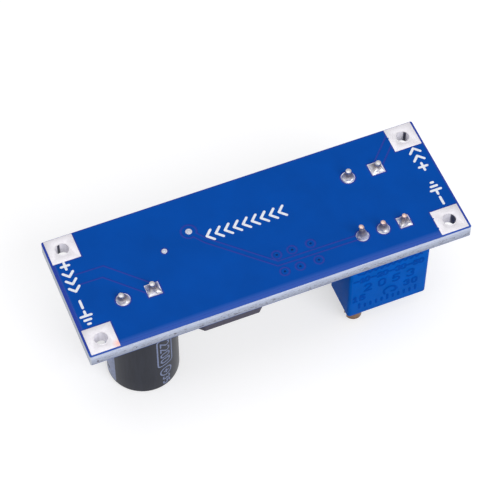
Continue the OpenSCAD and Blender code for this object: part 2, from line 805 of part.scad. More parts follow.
module foot_place(foot) {
    translate([foot[0].x, foot[0].y, comp_z]) rotate(foot[3]) rotate([180, 0, 0])
        translate([foot[1], 0, 0]) children();
}

module component_pads() {
    color(tin) for (foot = feet)
        foot_place(foot) translate([(pad_rim - foot[5])/2, 0, 0])
            bar([foot[5] + pad_rim, foot[2] + 0.1, pad_t]);
}

// A concave wedge of solder between a pad and the upright face behind it
module surface_solder_joints() {
    reach = pad_rim - 0.08;
    color(solder_grey) for (foot = feet) {
        rise = foot[4];
        foot_place(foot) translate([0, foot[2]/2, pad_t]) rotate([90, 0, 0])
            linear_extrude(foot[2]) polygon(concat([[0, 0]],
                [for (a = [0:15:90]) [reach*(1 - sin(a)), rise*(1 - cos(a))]]));
    }
}

// ---- solder round the leads, on the solder face ----

// A slightly hollow cone of solder from its ring up the lead, whose cut end stays bare
module lead_joint(at, lead_d, ring_d, square_ring, tip) {
    r = lead_d/2;
    neck = r + solder_coat;
    // a square ring is filled out to its corners, and trimmed to its sides
    reach = (square_ring ? 0.7*ring_d : ring_d/2) - neck;
    top = tip - pad_t - 0.06;
    rise = 0.75*top;
    translate([at.x, at.y, solder_z + pad_t]) difference() {
        union() {
            intersection() {
                rotate_extrude() polygon(concat([[0, 0]],
                    [for (t = [0:0.2:1]) [neck + reach*pow(1 - t, 1.4), rise*t]],
                    [[neck, top - 0.06], [r + 0.01, top], [0, top]]));
                if (square_ring) bar([ring_d, ring_d, tip]);
                else cylinder(d = ring_d, h = tip);
            }
            translate([0, 0, -board_t - 2*pad_t])
                cylinder(r = r + lead_fit, h = board_t + 2*pad_t);
        }
        translate([0, 0, -board_t - 2*pad_t - over])
            cylinder(r = r, h = board_t + tip + 2*over);
    }
}

module lead_solder_joints() {
    color(solder_grey) {
        for (i = [0, 1]) {
            lead_joint(out_leads[i], cap_lead_d, cap_ring_d, i == 1, out_tips[i]);
            lead_joint(in_leads[i], cap_lead_d, cap_ring_d, i == 1, in_tips[i]);
        }
        for (i = [0:2])
            lead_joint(trim_pins[i], trim_pin_d, trim_ring_d, i == 2, trim_tips[i]);
    }
}

module input_plus_pad() { corner_pad(1, 1); }
module input_ground_pad() { corner_pad(1, -1); }
module output_plus_pad() { corner_pad(-1, 1); }
module output_ground_pad() { corner_pad(-1, -1); }

printed_circuit_board();
input_plus_pad();
input_ground_pad();
output_plus_pad();
output_ground_pad();
lead_hole_linings();
vias();
component_pads();
output_capacitor_can();
output_capacitor_sleeve();
output_capacitor_bung();
output_capacitor_winding();
output_capacitor_leads();
input_capacitor_can();
input_capacitor_sleeve();
input_capacitor_bung();
input_capacitor_winding();
input_capacitor_leads();
trimmer_housing();
trimmer_base();
trimmer_screw();
trimmer_screw_clip();
trimmer_o_ring();
trimmer_rotor();
trimmer_wiper();
trimmer_element();
trimmer_pins();
inductor_core();
inductor_shield();
inductor_winding();
inductor_terminals();
regulator_body();
regulator_heat_tab();
regulator_leads();
diode_body();
diode_terminals();
chip_capacitor_bodies();
chip_capacitor_ends();
chip_resistor_bodies();
chip_resistor_ends();
lead_solder_joints();
surface_solder_joints();
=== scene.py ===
"""Looks of a step-down converter board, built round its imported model."""

import contextlib
import json
import math
import random

import bmesh
import bpy
from mathutils import Matrix, Vector

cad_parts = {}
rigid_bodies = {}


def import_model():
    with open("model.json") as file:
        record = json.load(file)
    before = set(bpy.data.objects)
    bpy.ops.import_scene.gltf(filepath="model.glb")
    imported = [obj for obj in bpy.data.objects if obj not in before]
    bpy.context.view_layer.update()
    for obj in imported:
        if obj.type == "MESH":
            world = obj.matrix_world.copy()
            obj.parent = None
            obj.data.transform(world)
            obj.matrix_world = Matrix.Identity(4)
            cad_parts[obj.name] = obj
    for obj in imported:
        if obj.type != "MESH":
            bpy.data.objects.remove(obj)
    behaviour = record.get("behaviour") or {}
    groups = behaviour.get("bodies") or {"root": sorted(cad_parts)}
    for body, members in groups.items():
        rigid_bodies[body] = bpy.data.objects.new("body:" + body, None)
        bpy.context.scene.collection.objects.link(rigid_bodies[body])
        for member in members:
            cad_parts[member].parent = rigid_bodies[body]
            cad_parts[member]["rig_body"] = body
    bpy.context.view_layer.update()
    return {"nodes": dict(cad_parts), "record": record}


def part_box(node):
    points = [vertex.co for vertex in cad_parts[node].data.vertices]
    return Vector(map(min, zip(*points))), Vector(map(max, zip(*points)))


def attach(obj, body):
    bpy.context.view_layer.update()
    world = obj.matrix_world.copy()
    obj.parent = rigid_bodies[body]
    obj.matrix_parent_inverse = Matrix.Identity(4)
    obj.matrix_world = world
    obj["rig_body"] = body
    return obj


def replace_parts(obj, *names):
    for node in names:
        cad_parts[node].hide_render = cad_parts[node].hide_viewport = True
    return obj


bl_info = {
    "name": "Converter board looks",
    "version": (1, 0, 0),
    "blender": (4, 5, 0),
    "location": "View3D > Sidebar > Converter board",
    "description": "Builds the visible surfaces of a step-down converter board",
    "category": "Object",
}

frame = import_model()
NODES = frame["nodes"]
MM = 0.001
ROOT = "module"

MOUNTS = {m["name"]: Vector(m["pos_m"]) / MM for m in frame["record"]["mounts"]}
WIRE_ENDS = ("output_plus", "output_ground", "input_plus", "input_ground")


def box_mm(node):
    """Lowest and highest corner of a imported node, in millimetres."""
    low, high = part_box(node)
    return low / MM, high / MM


BOARD_LOW, BOARD_HIGH = box_mm("printed_circuit_board")
SOLDER_Z = BOARD_HIGH.z
PART_Z = BOARD_LOW.z
COPPER_T = 0.035            # height of the masked copper over the laminate
PAD_T = 0.05                # height of a tinned pad over the laminate
MASK_Z = SOLDER_Z + COPPER_T
PAD_Z = SOLDER_Z + PAD_T
WELD = 2e-7                 # points this near in metres are one


def solids_mm(node):
    """Boxes of a node's separate solids, in millimetres, sorted along X."""
    bm = bmesh.new()
    bm.from_mesh(NODES[node].data)
    bmesh.ops.remove_doubles(bm, verts=bm.verts, dist=1e-7)
    left, found = set(bm.verts), []
    while left:
        group, queue = [], [left.pop()]
        while queue:
            v = queue.pop()
            group.append(v.co / MM)
            for e in v.link_edges:
                other = e.other_vert(v)
                if other in left:
                    left.discard(other)
                    queue.append(other)
        low = Vector([min(c[i] for c in group) for i in range(3)])
        high = Vector([max(c[i] for c in group) for i in range(3)])
        found.append((low, high))
    bm.free()
    return sorted(found, key=lambda b: b[0].x + b[1].x)


def plan_centre(box):
    return ((box[0].x + box[1].x) / 2, (box[0].y + box[1].y) / 2)


# ---- settings ----

def length(name, description, default):
    """A size property, given in millimetres."""
    return bpy.props.FloatProperty(name=name, description=description,
                                   default=default * MM, unit="LENGTH", precision=6)


def linear(red, green, blue):
    """A colour of 0 to 255 values as linear light."""
    def one(c):
        c /= 255
        return c / 12.92 if c <= 0.04045 else ((c + 0.055) / 1.055) ** 2.4
    return one(red), one(green), one(blue)


def colour(name, description, red, green, blue):
    return bpy.props.FloatVectorProperty(name=name, description=description, size=3,
                                         subtype="COLOR", min=0, max=1,
                                         default=linear(red, green, blue))


class BoardSettings(bpy.types.PropertyGroup):
    mask_blue: colour("Mask", "Solder mask over copper", 0, 74, 167)
    mask_bare: colour("Bare mask", "Solder mask where no copper lies under it", 44, 68, 164)
    edge: colour("Edge", "Sawn edge of the laminate", 198, 207, 229)
    ink: colour("Ink", "Marking ink", 236, 240, 248)
    pad_tin: colour("Pads", "Tinned pads", 232, 230, 236)
    gap: length("Clearance", "Width of the grooves beside a trace", 0.2)
    border: length("Border", "Bare strip along the near and output edges", 0.48)
    ink_t: length("Ink thickness", "Height of the marking ink", 0.012)
    ink_w: length("Ink stroke", "Width of a marking stroke", 0.29)


class SolderSettings(bpy.types.PropertyGroup):
    metal: colour("Solder", "Solder round the leads", 214, 210, 214)
    cut_warm: colour("Cut copper", "Cut end of a trimmer pin", 226, 196, 186)
    lumps: length("Lumps", "Unevenness of a joint's foot", 0.05)


class CapacitorSettings(bpy.types.PropertyGroup):
    sleeve: colour("Sleeve", "Shrunk sleeve", 46, 49, 60)
    stripe: colour("Stripe", "Stripe beside the negative lead", 154, 166, 204)
    stripe_w: bpy.props.FloatProperty(name="Stripe width", subtype="ANGLE",
                                      description="Angle that the stripe takes",
                                      default=math.radians(44))


class TrimmerSettings(bpy.types.PropertyGroup):
    plastic: colour("Plastic", "Moulded housing", 0, 97, 200)
    brass: colour("Brass", "Adjusting screw", 138, 108, 88)
    # the housing's plastic made darker: painted shade on the raised marks
    marks: colour("Marks", "Raised marks on the housing", 0, 78, 178)
    raised: length("Raised height", "Height of the moulded marks", 0.03)


class PartSettings(bpy.types.PropertyGroup):
    ferrite: colour("Ferrite", "Pressed ferrite", 88, 86, 100)
    epoxy: colour("Epoxy", "Moulding compound", 34, 34, 38)
    edge_round: length("Edge rounding", "Rounding of the parts' edges", 0.05)


class StageSettings(bpy.types.PropertyGroup):
    floor: colour("Floor", "Floor round the board", 196, 196, 198)
    key_power: bpy.props.FloatProperty(name="Key light", description="Power of the soft box",
                                       default=1.5, min=0)
    sky: bpy.props.FloatProperty(name="Sky", description="Strength of the even light",
                                 default=0.5, min=0)


# ---- node materials ----

def feed(tree, source, target):
    """Links a socket to an input, or sets the input to a value."""
    if isinstance(source, bpy.types.NodeSocket):
        tree.links.new(source, target)
    else:
        target.default_value = source


def add_node(tree, kind, sockets=None, **values):
    """A node of a tree, with its settings, and its inputs fed by name or number."""
    n = tree.nodes.new(kind)
    for key, value in values.items():
        setattr(n, key, value)
    for key, source in (sockets or {}).items():
        feed(tree, source, n.inputs[key])
    return n


def shade(rgb, factor):
    return tuple(min(1.0, c * factor) for c in rgb)


class Finish:
    """A material under construction. Lengths in its patterns are in millimetres."""

    def __init__(self, name, base, rough, metal=0.0, specular=0.5, coat=0.0,
                 coat_rough=0.1):
        self.mat = bpy.data.materials.new(name)
        self.mat.use_nodes = True
        self.tree = self.mat.node_tree
        self.shader = self.tree.nodes["Principled BSDF"]
        for socket, value in (("Base Color", (*base, 1)), ("Roughness", rough),
                              ("Metallic", metal), ("Specular IOR Level", specular),
                              ("Coat Weight", coat), ("Coat Roughness", coat_rough)):
            self.set(socket, value)
        self.coords = self.node("ShaderNodeTexCoord").outputs["Object"]

    def node(self, kind, sockets=None, **values):
        return add_node(self.tree, kind, sockets, **values)

    def set(self, socket, value):
        feed(self.tree, value, self.shader.inputs[socket])

    def place(self, centre=(0, 0, 0), stretch=(1, 1, 1), turn=(0, 0, 0)):
        """Object coordinates in millimetres from a centre, stretched by a factor."""
        return self.node("ShaderNodeMapping", {
            "Vector": self.coords, "Location": [c * MM for c in centre], "Rotation": turn,
            "Scale": [s * MM for s in stretch]}, vector_type="TEXTURE").outputs["Vector"]

    def noise(self, at, scale, detail=2.0, rough=0.5):
        return self.node("ShaderNodeTexNoise", {
            "Vector": at, "Scale": scale, "Detail": detail,
            "Roughness": rough}).outputs["Fac"]

    def drawn(self, stretch, detail=2.0, rough=0.5, **turned):
        """Noise drawn out to a size in millimetres along each axis."""
        return self.noise(self.place(stretch=stretch, **turned), 1.0, detail, rough)

    def waves(self, scale, **values):
        return self.node("ShaderNodeTexWave", {"Vector": self.place(), "Scale": scale},
                         **values)

    def ramp(self, factor, *stops):
        """Colours or greys at positions 0 to 1."""
        n = self.node("ShaderNodeValToRGB", {"Fac": factor})
        elements = n.color_ramp.elements
        while len(elements) < len(stops):
            elements.new(0.5)
        # all positions first, because a moved stop may change places with the next
        for element, (at, _) in zip(elements, stops):
            element.position = at
        for element, (_, value) in zip(elements, stops):
            value = (value,) * 3 if isinstance(value, (int, float)) else value
            element.color = (*value, 1)
        return n.outputs["Color"]

    def tones(self, factor, rgb, *stops):
        """Shades of a colour at positions 0 to 1."""
        return self.ramp(factor, *((at, shade(rgb, k)) for at, k in stops))

    def math(self, operation, a, b=0.0, c=0.0):
        return self.node("ShaderNodeMath", {0: a, 1: b, 2: c},
                         operation=operation).outputs[0]

    def mix(self, factor, a, b):
        n = self.node("ShaderNodeMix", {"Factor": factor}, data_type="RGBA")
        for socket, value in (("A", a), ("B", b)):
            target = [s for s in n.inputs if s.name == socket and s.type == "RGBA"][0]
            feed(self.tree, value if isinstance(value, bpy.types.NodeSocket)
                 else (*value, 1), target)
        return [s for s in n.outputs if s.type == "RGBA"][0]

    def spread(self, value, low, high):
        """A 0 to 1 value spread between two numbers."""
        return self.node("ShaderNodeMapRange", {
            "Value": value, "To Min": low, "To Max": high}).outputs["Result"]

    def between(self, value, low, high, soft):
        """1 where a value lies between two numbers, with soft sides."""
        return self.math("MULTIPLY", *(self.node("ShaderNodeMapRange", {
            "Value": value, "From Min": edge - way * soft,
            "From Max": edge + way * soft}).outputs["Result"]
            for edge, way in ((low, 1), (high, -1))))

    def axes(self, vector):
        return tuple(self.node("ShaderNodeSeparateXYZ", {0: vector}).outputs)

    def bump(self, height, depth, strength):
        """Relief of a depth in millimetres. A second call adds to the first."""
        sockets = {"Height": height, "Distance": depth * MM, "Strength": strength}
        before = self.shader.inputs["Normal"]
        if before.is_linked:
            sockets["Normal"] = before.links[0].from_socket
        self.set("Normal", self.node("ShaderNodeBump", sockets).outputs["Normal"])

    def skin(self, tone, rough, *reliefs):
        """Sets the colour, the roughness from (pattern, low, high) and the relief from
        each (pattern, depth, strength)."""
        self.set("Base Color", tone)
        self.set("Roughness", self.spread(*rough))
        for relief in reliefs:
            self.bump(*relief)
        return self


# Colour of the painted highlight along the edge of the copper under the mask
EDGE_HIGHLIGHT_TONE = linear(54, 92, 180)


def copper_mask(rgb, name="masked_copper"):
    """Glossy mask over copper: even colour, faint clouds and an orange-peel skin."""
    f = Finish(name, rgb, rough=0.32, specular=0.04)
    at = f.place()
    tone = f.tones(f.noise(at, 0.22, 3, 0.55), rgb, (0.3, 0.93), (0.7, 1.06))
    tone = f.mix(f.spread(f.noise(at, 9, 2), 0.0, 0.12), tone, shade(rgb, 0.7))
    # the mask made paler by a painted highlight along the copper's edge
    return f.skin(f.mix(painted_edge_highlight(f, at), tone, EDGE_HIGHLIGHT_TONE),
                  (f.noise(at, 1.4, 3), 0.26, 0.42), (f.noise(at, 3.2, 3), 0.006, 0.5))


def painted_edge_highlight(f, at):
    """Painted highlight along the edge of the copper under the mask, towards the near and
    output edges; at the near edge it also paints the bare strip paler.
    """
    x, y, _ = f.axes(at)
    near = f.ramp(f.math("SUBTRACT", y, BOARD_LOW.y), (0.5, 0.85), (1.0, 0.0))
    left = f.ramp(f.math("SUBTRACT", x, BOARD_LOW.x), (0.3, 0.0), (0.42, 0.5), (0.62, 0.0))
    return f.math("MAXIMUM", near, left)


def bare_board(mask, edge):
    """Mask straight on laminate, with a sawn edge that shows its glass layers."""
    f = Finish("board_laminate", mask, rough=0.4, specular=0.05)
    at = f.place()
    x, _, z = f.axes(at)
    layers = f.drawn((3.0, 3.0, 0.16), 3, 0.6)
    fibres = f.drawn((0.22, 0.22, 0.09), 2, 0.7)
    stains = f.drawn((1.6, 1.6, 0.5))
    torn = f.drawn((0.34, 0.34, 0.09), 1)
    rise = f.math("DIVIDE", f.math("SUBTRACT", z, PART_Z), SOLDER_Z - PART_Z)
    sawn = f.tones(rise, edge, (0.08, 0.66), (0.4, 0.88), (0.62, 1.04), (0.82, 1.24))
    dashes = f.math("MULTIPLY", f.ramp(torn, (0.6, 0.0), (0.66, 0.85)),
                    f.between(z, PART_Z + 0.2, PART_Z + 0.8, 0.15))
    # painted light: the edge at the output end, which lies in shade, is painted near white
    painted_light_end = f.ramp(f.math("SUBTRACT", x, BOARD_LOW.x), (0.05, 0.85), (0.15, 0.0))
    for where, tone in (
            (f.ramp(layers, (0.36, 0.4), (0.52, 0.0)), shade(edge, 0.62)),
            (f.ramp(fibres, (0.54, 0.0), (0.68, 0.35)), linear(150, 142, 152)),
            (f.ramp(stains, (0.58, 0.0), (0.76, 0.5)), linear(168, 186, 222)),
            (dashes, linear(84, 70, 82)), (painted_light_end, linear(238, 244, 254))):
        sawn = f.mix(where, sawn, tone)
    side = f.between(z, PART_Z + 0.05, SOLDER_Z - 0.04, 0.015)
    weave = f.waves(0.9, wave_type="BANDS", bands_direction="DIAGONAL")
    weave.inputs["Distortion"].default_value = 1.2
    face = f.mix(f.spread(weave.outputs["Fac"], 0.0, 0.25), mask, shade(mask, 0.75))
    # the same painted highlight on the bare strip beside the copper's edge
    face = f.mix(painted_edge_highlight(f, at), face, EDGE_HIGHLIGHT_TONE)
    return f.skin(f.mix(side, face, sawn), (side, 0.36, 0.75),
                  (f.math("MULTIPLY", layers, side), 0.03, 0.8),
                  (f.noise(at, 2.5, 2), 0.006, 0.5))


def hole_wall(f, x, y):
    """Tin on a hole's wall, with a painted dark strip of shade and reflection that lies a
    little further round in each hole and is faint at the output's ground."""
    facing = f.axes(f.node("ShaderNodeNewGeometry").outputs["Normal"])[0]
    turn = f.math("ADD", f.math("MULTIPLY_ADD", facing, 0.5, 0.5),
                  f.spread(f.drawn((0.3, 0.3, 3)), -0.05, 0.05))
    turn = f.math("ADD", turn, f.math("MULTIPLY", x, 0.0115))
    turn = f.math("SUBTRACT", turn, f.math("MULTIPLY", y, 0.006))
    # painted shade and reflection: a dark strip placed by the way the wall faces
    strip = f.ramp(turn, (0.235, 0.0), (0.285, 1.0), (0.425, 1.0), (0.485, 0.0))
    corner = f.math("ADD", f.math("MULTIPLY", f.math("ADD", x, y), 0.02), 0.5)
    dulling_and_shade = f.math("MULTIPLY", strip, f.ramp(corner, (0.0, 0.15), (0.2, 1.0)))
    return f.mix(dulling_and_shade, linear(240, 238, 246), linear(56, 58, 78))


def tinned_pad(rgb, name="tinned_copper", spot=None):
    """Levelled tin: pale, satin, with faint flow marks and fine scratches; inside a hole
    it is less metallic and its wall has a streaked strip of painted shade and reflection.
    A spot is the centre of a blush of flux."""
    f = Finish(name, rgb, rough=0.34, specular=0.5)
    at = f.place()
    flow = f.noise(at, 0.9, 4, 0.6)
    fine = f.drawn((0.5, 0.06, 0.5), turn=(0, 0, 0.6))
    specks = f.noise(at, 4.5, 3, 0.6)
    tone = f.tones(flow, rgb, (0.3, 0.93), (0.6, 1.0))
    tone = f.mix(f.ramp(specks, (0.56, 0.0), (0.72, 0.4)), tone, linear(206, 190, 204))
    tone = f.mix(f.spread(fine, 0.0, 0.12), tone, linear(190, 180, 186))
    if spot:
        away = f.node("ShaderNodeVectorMath", {0: f.place(spot)}, operation="LENGTH")
        tone = f.mix(f.ramp(away.outputs["Value"], (0.1, 0.85), (0.75, 0.0)), tone,
                     linear(238, 184, 172))
    x, y, z = f.axes(at)
    inside = f.between(z, PART_Z + 0.02, SOLDER_Z - 0.02, 0.06)
    f.set("Metallic", f.spread(inside, 0.55, 0.15))
    # a hole's wall takes the painted shade and reflection of hole_wall
    return f.skin(f.mix(inside, tone, hole_wall(f, x, y)), (flow, 0.4, 0.6),
                  (flow, 0.012, 0.4), (specks, 0.006, 0.4))


def drawn_wire(name, rgb, rough=0.3):
    """Wire or strip, with drawing lines along it."""
    f = Finish(name, rgb, rough=rough, metal=0.9)
    lines = f.drawn((0.05, 0.05, 1.2), 3)
    return f.skin(f.tones(lines, rgb, (0.35, 0.78), (0.6, 1.0)),
                  (f.noise(f.place(), 4, 2), rough - 0.08, rough + 0.14),
                  (lines, 0.006, 0.5))


def frozen_solder(rgb):
    """Solder that set in ripples, with painted highlights in patches at its foot and
    painted shade that darkens it as it climbs the lead."""
    f = Finish("solder", rgb, rough=0.35, metal=0.6)
    at = f.place()
    ripples = f.noise(at, 3.4, 3, 0.55)
    climb = f.node("ShaderNodeAttribute", attribute_name="climb").outputs["Fac"]
    # painted highlights: pale patches round the foot of each joint
    painted_highlight = f.math("MULTIPLY", f.ramp(climb, (0.1, 0.9), (0.42, 0.0)),
                    f.ramp(f.noise(at, 1.1, 1), (0.38, 0.0), (0.5, 1.0)))
    tone = f.tones(ripples, rgb, (0.32, 0.58), (0.46, 0.84), (0.58, 1.0))
    tone = f.mix(painted_highlight, tone, linear(236, 234, 240))
    # painted shade: darker as the joint climbs the lead
    tone = f.mix(f.ramp(climb, (0.35, 0.0), (0.75, 0.75)), tone, linear(112, 100, 104))
    return f.skin(tone, (ripples, 0.24, 0.5), (ripples, 0.06, 0.7),
                  (f.noise(at, 14, 2), 0.006, 0.4))


def brushed_can(rgb):
    f = Finish("can_aluminium", rgb, rough=0.35, metal=0.95)
    turning = f.drawn((0.08, 0.08, 0.6), 3)
    return f.skin(f.tones(turning, rgb, (0.3, 0.86), (0.7, 1.0)),
                  (f.noise(f.place(), 1.2, 3), 0.26, 0.48), (turning, 0.006, 0.4))


def shrunk_sleeve(name, centre, rgb, stripe, stripe_w, stripe_at):
    """Heat-shrunk film with a stripe and minus signs beside the negative lead."""
    f = Finish(name, rgb, rough=0.34, specular=0.12)
    middle = (*centre, 0)
    at = f.place(middle)
    x, y, z = f.axes(at)
    turned = f.math("WRAP", f.math("SUBTRACT", f.math("ARCTAN2", y, x), stripe_at),
                    math.pi, -math.pi)
    band = f.math("MULTIPLY", f.between(turned, -stripe_w / 2, stripe_w / 2, 0.012),
                  f.between(z, 0.5, PART_Z - 0.5, 0.06))
    run = f.math("PINGPONG", f.math("SUBTRACT", z, 1.9), 2.0)
    dash = f.math("MULTIPLY", f.between(run, -1, 0.28, 0.03),
                  f.between(turned, -0.11, 0.11, 0.012))
    streaks = f.noise(f.place(middle, (0.35, 0.35, 4)), 1.0, 3)
    hatch = f.drawn((0.3, 0.3, 0.9), turn=(0.5, 0.4, 0))
    film = f.tones(streaks, rgb, (0.3, 0.84), (0.7, 1.14))
    printed = f.mix(band, film, f.tones(hatch, stripe, (0.35, 0.78), (0.65, 1.0)))
    return f.skin(f.mix(f.math("MULTIPLY", dash, band), printed, rgb),
                  (streaks, 0.26, 0.42), (streaks, 0.02, 0.5),
                  (f.noise(at, 5, 2), 0.004, 0.4))


def moulded_blue(rgb, name="trimmer_plastic"):
    """Glass-filled moulding: satin, with a fine speckle and faint flow clouds."""
    f = Finish(name, rgb, rough=0.46, specular=0.012)
    at = f.place()
    speckle = f.noise(at, 11, 2)
    tone = f.tones(f.noise(at, 0.5, 3), rgb, (0.3, 0.92), (0.7, 1.08))
    return f.skin(f.mix(f.spread(speckle, 0.0, 0.2), tone, shade(rgb, 0.7)),
                  (speckle, 0.38, 0.56), (speckle, 0.012, 0.6))


def plain_resin(name, rgb, rough):
    f = Finish(name, rgb, rough=rough, specular=0.3)
    at = f.place()
    return f.skin(f.tones(f.noise(at, 1.1, 4, 0.6), rgb, (0.3, 0.85), (0.7, 1.08)),
                  (f.noise(at, 6, 2), rough - 0.1, rough + 0.12),
                  (f.noise(at, 8, 3), 0.012, 0.6))


def turned_brass(rgb):
    """Turned and dulled brass, brown in its hollows."""
    f = Finish("screw_brass", rgb, rough=0.4, metal=0.85)
    rings = f.drawn((2.0, 2.0, 0.05))
    dulling_and_shade = f.noise(f.place(), 1.8, 3)
    tone = f.tones(dulling_and_shade, rgb, (0.35, 0.62), (0.65, 1.0))
    return f.skin(f.mix(f.spread(rings, 0.0, 0.3), tone, shade(rgb, 1.2)),
                  (dulling_and_shade, 0.3, 0.58), (rings, 0.008, 0.6))


def granular(name, rgb, grain, rough, sparkle=0.0):
    """Pressed or moulded powder, with grains of a size in millimetres."""
    f = Finish(name, rgb, rough=rough, specular=0.16)
    at = f.place()
    grains = f.node("ShaderNodeTexVoronoi", {"Vector": at, "Scale": 1 / grain})
    fine = f.noise(at, 2.5 / grain, 2)
    # painted glints: flecks lightened by the sparkle amount
    painted_glints = f.ramp(f.noise(at, 1.3, 4, 0.7), (0.62, 0.0), (0.7, sparkle))
    tone = f.tones(fine, rgb, (0.3, 0.72), (0.7, 1.25))
    return f.skin(f.mix(painted_glints, tone, shade(rgb, 2.0)), (fine, rough - 0.12, rough + 0.1),
                  (grains.outputs["Distance"], grain * 0.12, 0.7))


def enamelled_wire(rgb):
    f = Finish("winding_copper", rgb, rough=0.25, metal=0.7, coat=0.6, coat_rough=0.15)
    tone = f.drawn((0.6, 0.6, 0.2), 3)
    return f.skin(f.tones(tone, rgb, (0.3, 0.7), (0.7, 1.0)), (tone, 0.18, 0.36),
                  (tone, 0.01, 0.4))


def rolled_foil(rgb):
    f = Finish("foil_roll", rgb, rough=0.6, metal=0.4)
    wraps = f.waves(3.0, wave_type="RINGS", rings_direction="Z").outputs["Fac"]
    return f.skin(f.tones(wraps, rgb, (0.2, 0.7), (0.8, 1.0)), (wraps, 0.5, 0.7),
                  (wraps, 0.02, 0.5))


def marking_ink(rgb, name="marking_ink"):
    f = Finish(name, rgb, rough=0.6, specular=0.2)
    worn = f.noise(f.place(), 5, 3, 0.6)
    return f.skin(f.tones(worn, rgb, (0.3, 0.8), (0.55, 1.0)), (worn, 0.5, 0.7),
                  (worn, 0.006, 0.5))


# ---- shapes, in millimetres ----

def mesh_mm(name, verts, faces=()):
    """A mesh from points in millimetres."""
    mesh = bpy.data.meshes.new(name)
    mesh.from_pydata([[c * MM for c in v] for v in verts], [], faces)
    return mesh


def placed(name, data):
    """A new object in the scene."""
    obj = bpy.data.objects.new(name, data)
    bpy.context.scene.collection.objects.link(obj)
    return obj


def evaluated(obj):
    """The mesh that an object's modifiers give. The object itself goes."""
    bpy.context.view_layer.update()
    deps = bpy.context.evaluated_depsgraph_get()
    mesh = bpy.data.meshes.new_from_object(obj.evaluated_get(deps))
    bpy.data.objects.remove(obj)
    return mesh


@contextlib.contextmanager
def edited(mesh):
    """A mesh's points and faces for editing, written back at the end."""
    bm = bmesh.new()
    bm.from_mesh(mesh)
    yield bm
    bm.to_mesh(mesh)
    bm.free()


def turn_outward(mesh):
    with edited(mesh) as bm:
        bmesh.ops.recalc_face_normals(bm, faces=bm.faces)


def clean(bm, angle):
    """Welds equal points and dissolves edges between faces level within some degrees."""
    bmesh.ops.remove_doubles(bm, verts=bm.verts, dist=WELD)
    bmesh.ops.dissolve_limit(bm, angle_limit=math.radians(angle), verts=bm.verts,
                             edges=bm.edges)


def piece(name, verts, faces, *finishes, slot, smooth, face_mats=None):
    """A finished piece of the module from points in millimetres."""
    return finished(name, mesh_mm(name, verts, faces), *finishes, slot=slot,
                    smooth=smooth, face_mats=face_mats)


def finished(name, mesh, *finishes, slot, smooth, body=ROOT, face_mats=None):
    """A piece that rides on a body; the slot it is given is not used. Edges sharper than
    smooth, in degrees, stay sharp."""
    mesh.validate()
    mesh.materials.clear()
    for f in finishes:
        mesh.materials.append(f.mat)
    if face_mats:
        mesh.polygons.foreach_set("material_index", face_mats)
    mesh.shade_smooth()
    mesh.set_sharp_from_angle(angle=math.radians(smooth))
    obj = placed(name, mesh)
    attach(obj, body)
    return obj


def join_shapes(shapes):
    """One list of points and faces from several."""
    verts, faces = [], []
    for v, f in shapes:
        start = len(verts)
        verts += v
        faces += [[i + start for i in face] for face in f]
    return verts, faces


def prism(outline, low, high):
    """An upright prism on a counter-clockwise outline."""
    n = len(outline)
    verts = [(*p, low) for p in outline] + [(*p, high) for p in outline]
    faces = [list(range(n - 1, -1, -1)), list(range(n, 2 * n))]
    faces += [[i, (i + 1) % n, n + (i + 1) % n, n + i] for i in range(n)]
    return verts, faces


def rectangle(x0, y0, x1, y1):
    return [(x0, y0), (x1, y0), (x1, y1), (x0, y1)]


def disc(centre, r, steps=40):
    return [(centre[0] + r * math.cos(2 * math.pi * i / steps),
             centre[1] + r * math.sin(2 * math.pi * i / steps)) for i in range(steps)]


def stroke(points, width, closed=False):
    """Counter-clockwise outline of a line of a width, with mitred bends."""
    pts = [Vector(p[:2]) for p in points]
    n = len(pts)
    sides = {1: [], -1: []}
    for i, p in enumerate(pts):
        before = pts[i] - pts[i - 1] if i or closed else None
        after = pts[(i + 1) % n] - pts[i] if i < n - 1 or closed else None
        a = (before or after).normalized()
        b = (after or before).normalized()
        mid = Vector((-a.y - b.y, a.x + b.x)).normalized()
        reach = width / 2 / max(0.4, mid.dot(Vector((-a.y, a.x))))
        for side in sides:
            sides[side].append(tuple(p + mid * reach * side))
    return sides[-1] + sides[1][::-1]


def arc(centre, r, start, end, steps):
    return [(centre[0] + r * math.cos(a), centre[1] + r * math.sin(a))
            for a in [math.radians(start + (end - start) * i / steps)
                      for i in range(steps + 1)]]


def lathe(profile, centre, steps):
    """A body turned about an upright axis, from (radius, height) points that run
    counter-clockwise round its section."""
    verts, rings = [], []
    for r, z in profile:
        start = len(verts)
        if r < 1e-6:
            rings.append([start] * steps)
            verts.append((*centre, z))
        else:
            rings.append(list(range(start, start + steps)))
            verts += [(*p, z) for p in disc(centre, r, steps)]
    faces = []
    for a, b in zip(rings, rings[1:] + rings[:1]):
        for i in range(steps):
            j = (i + 1) % steps
            face = list(dict.fromkeys((a[i], a[j], b[j], b[i])))
            if len(face) > 2:
                faces.append(face)
    return verts, faces


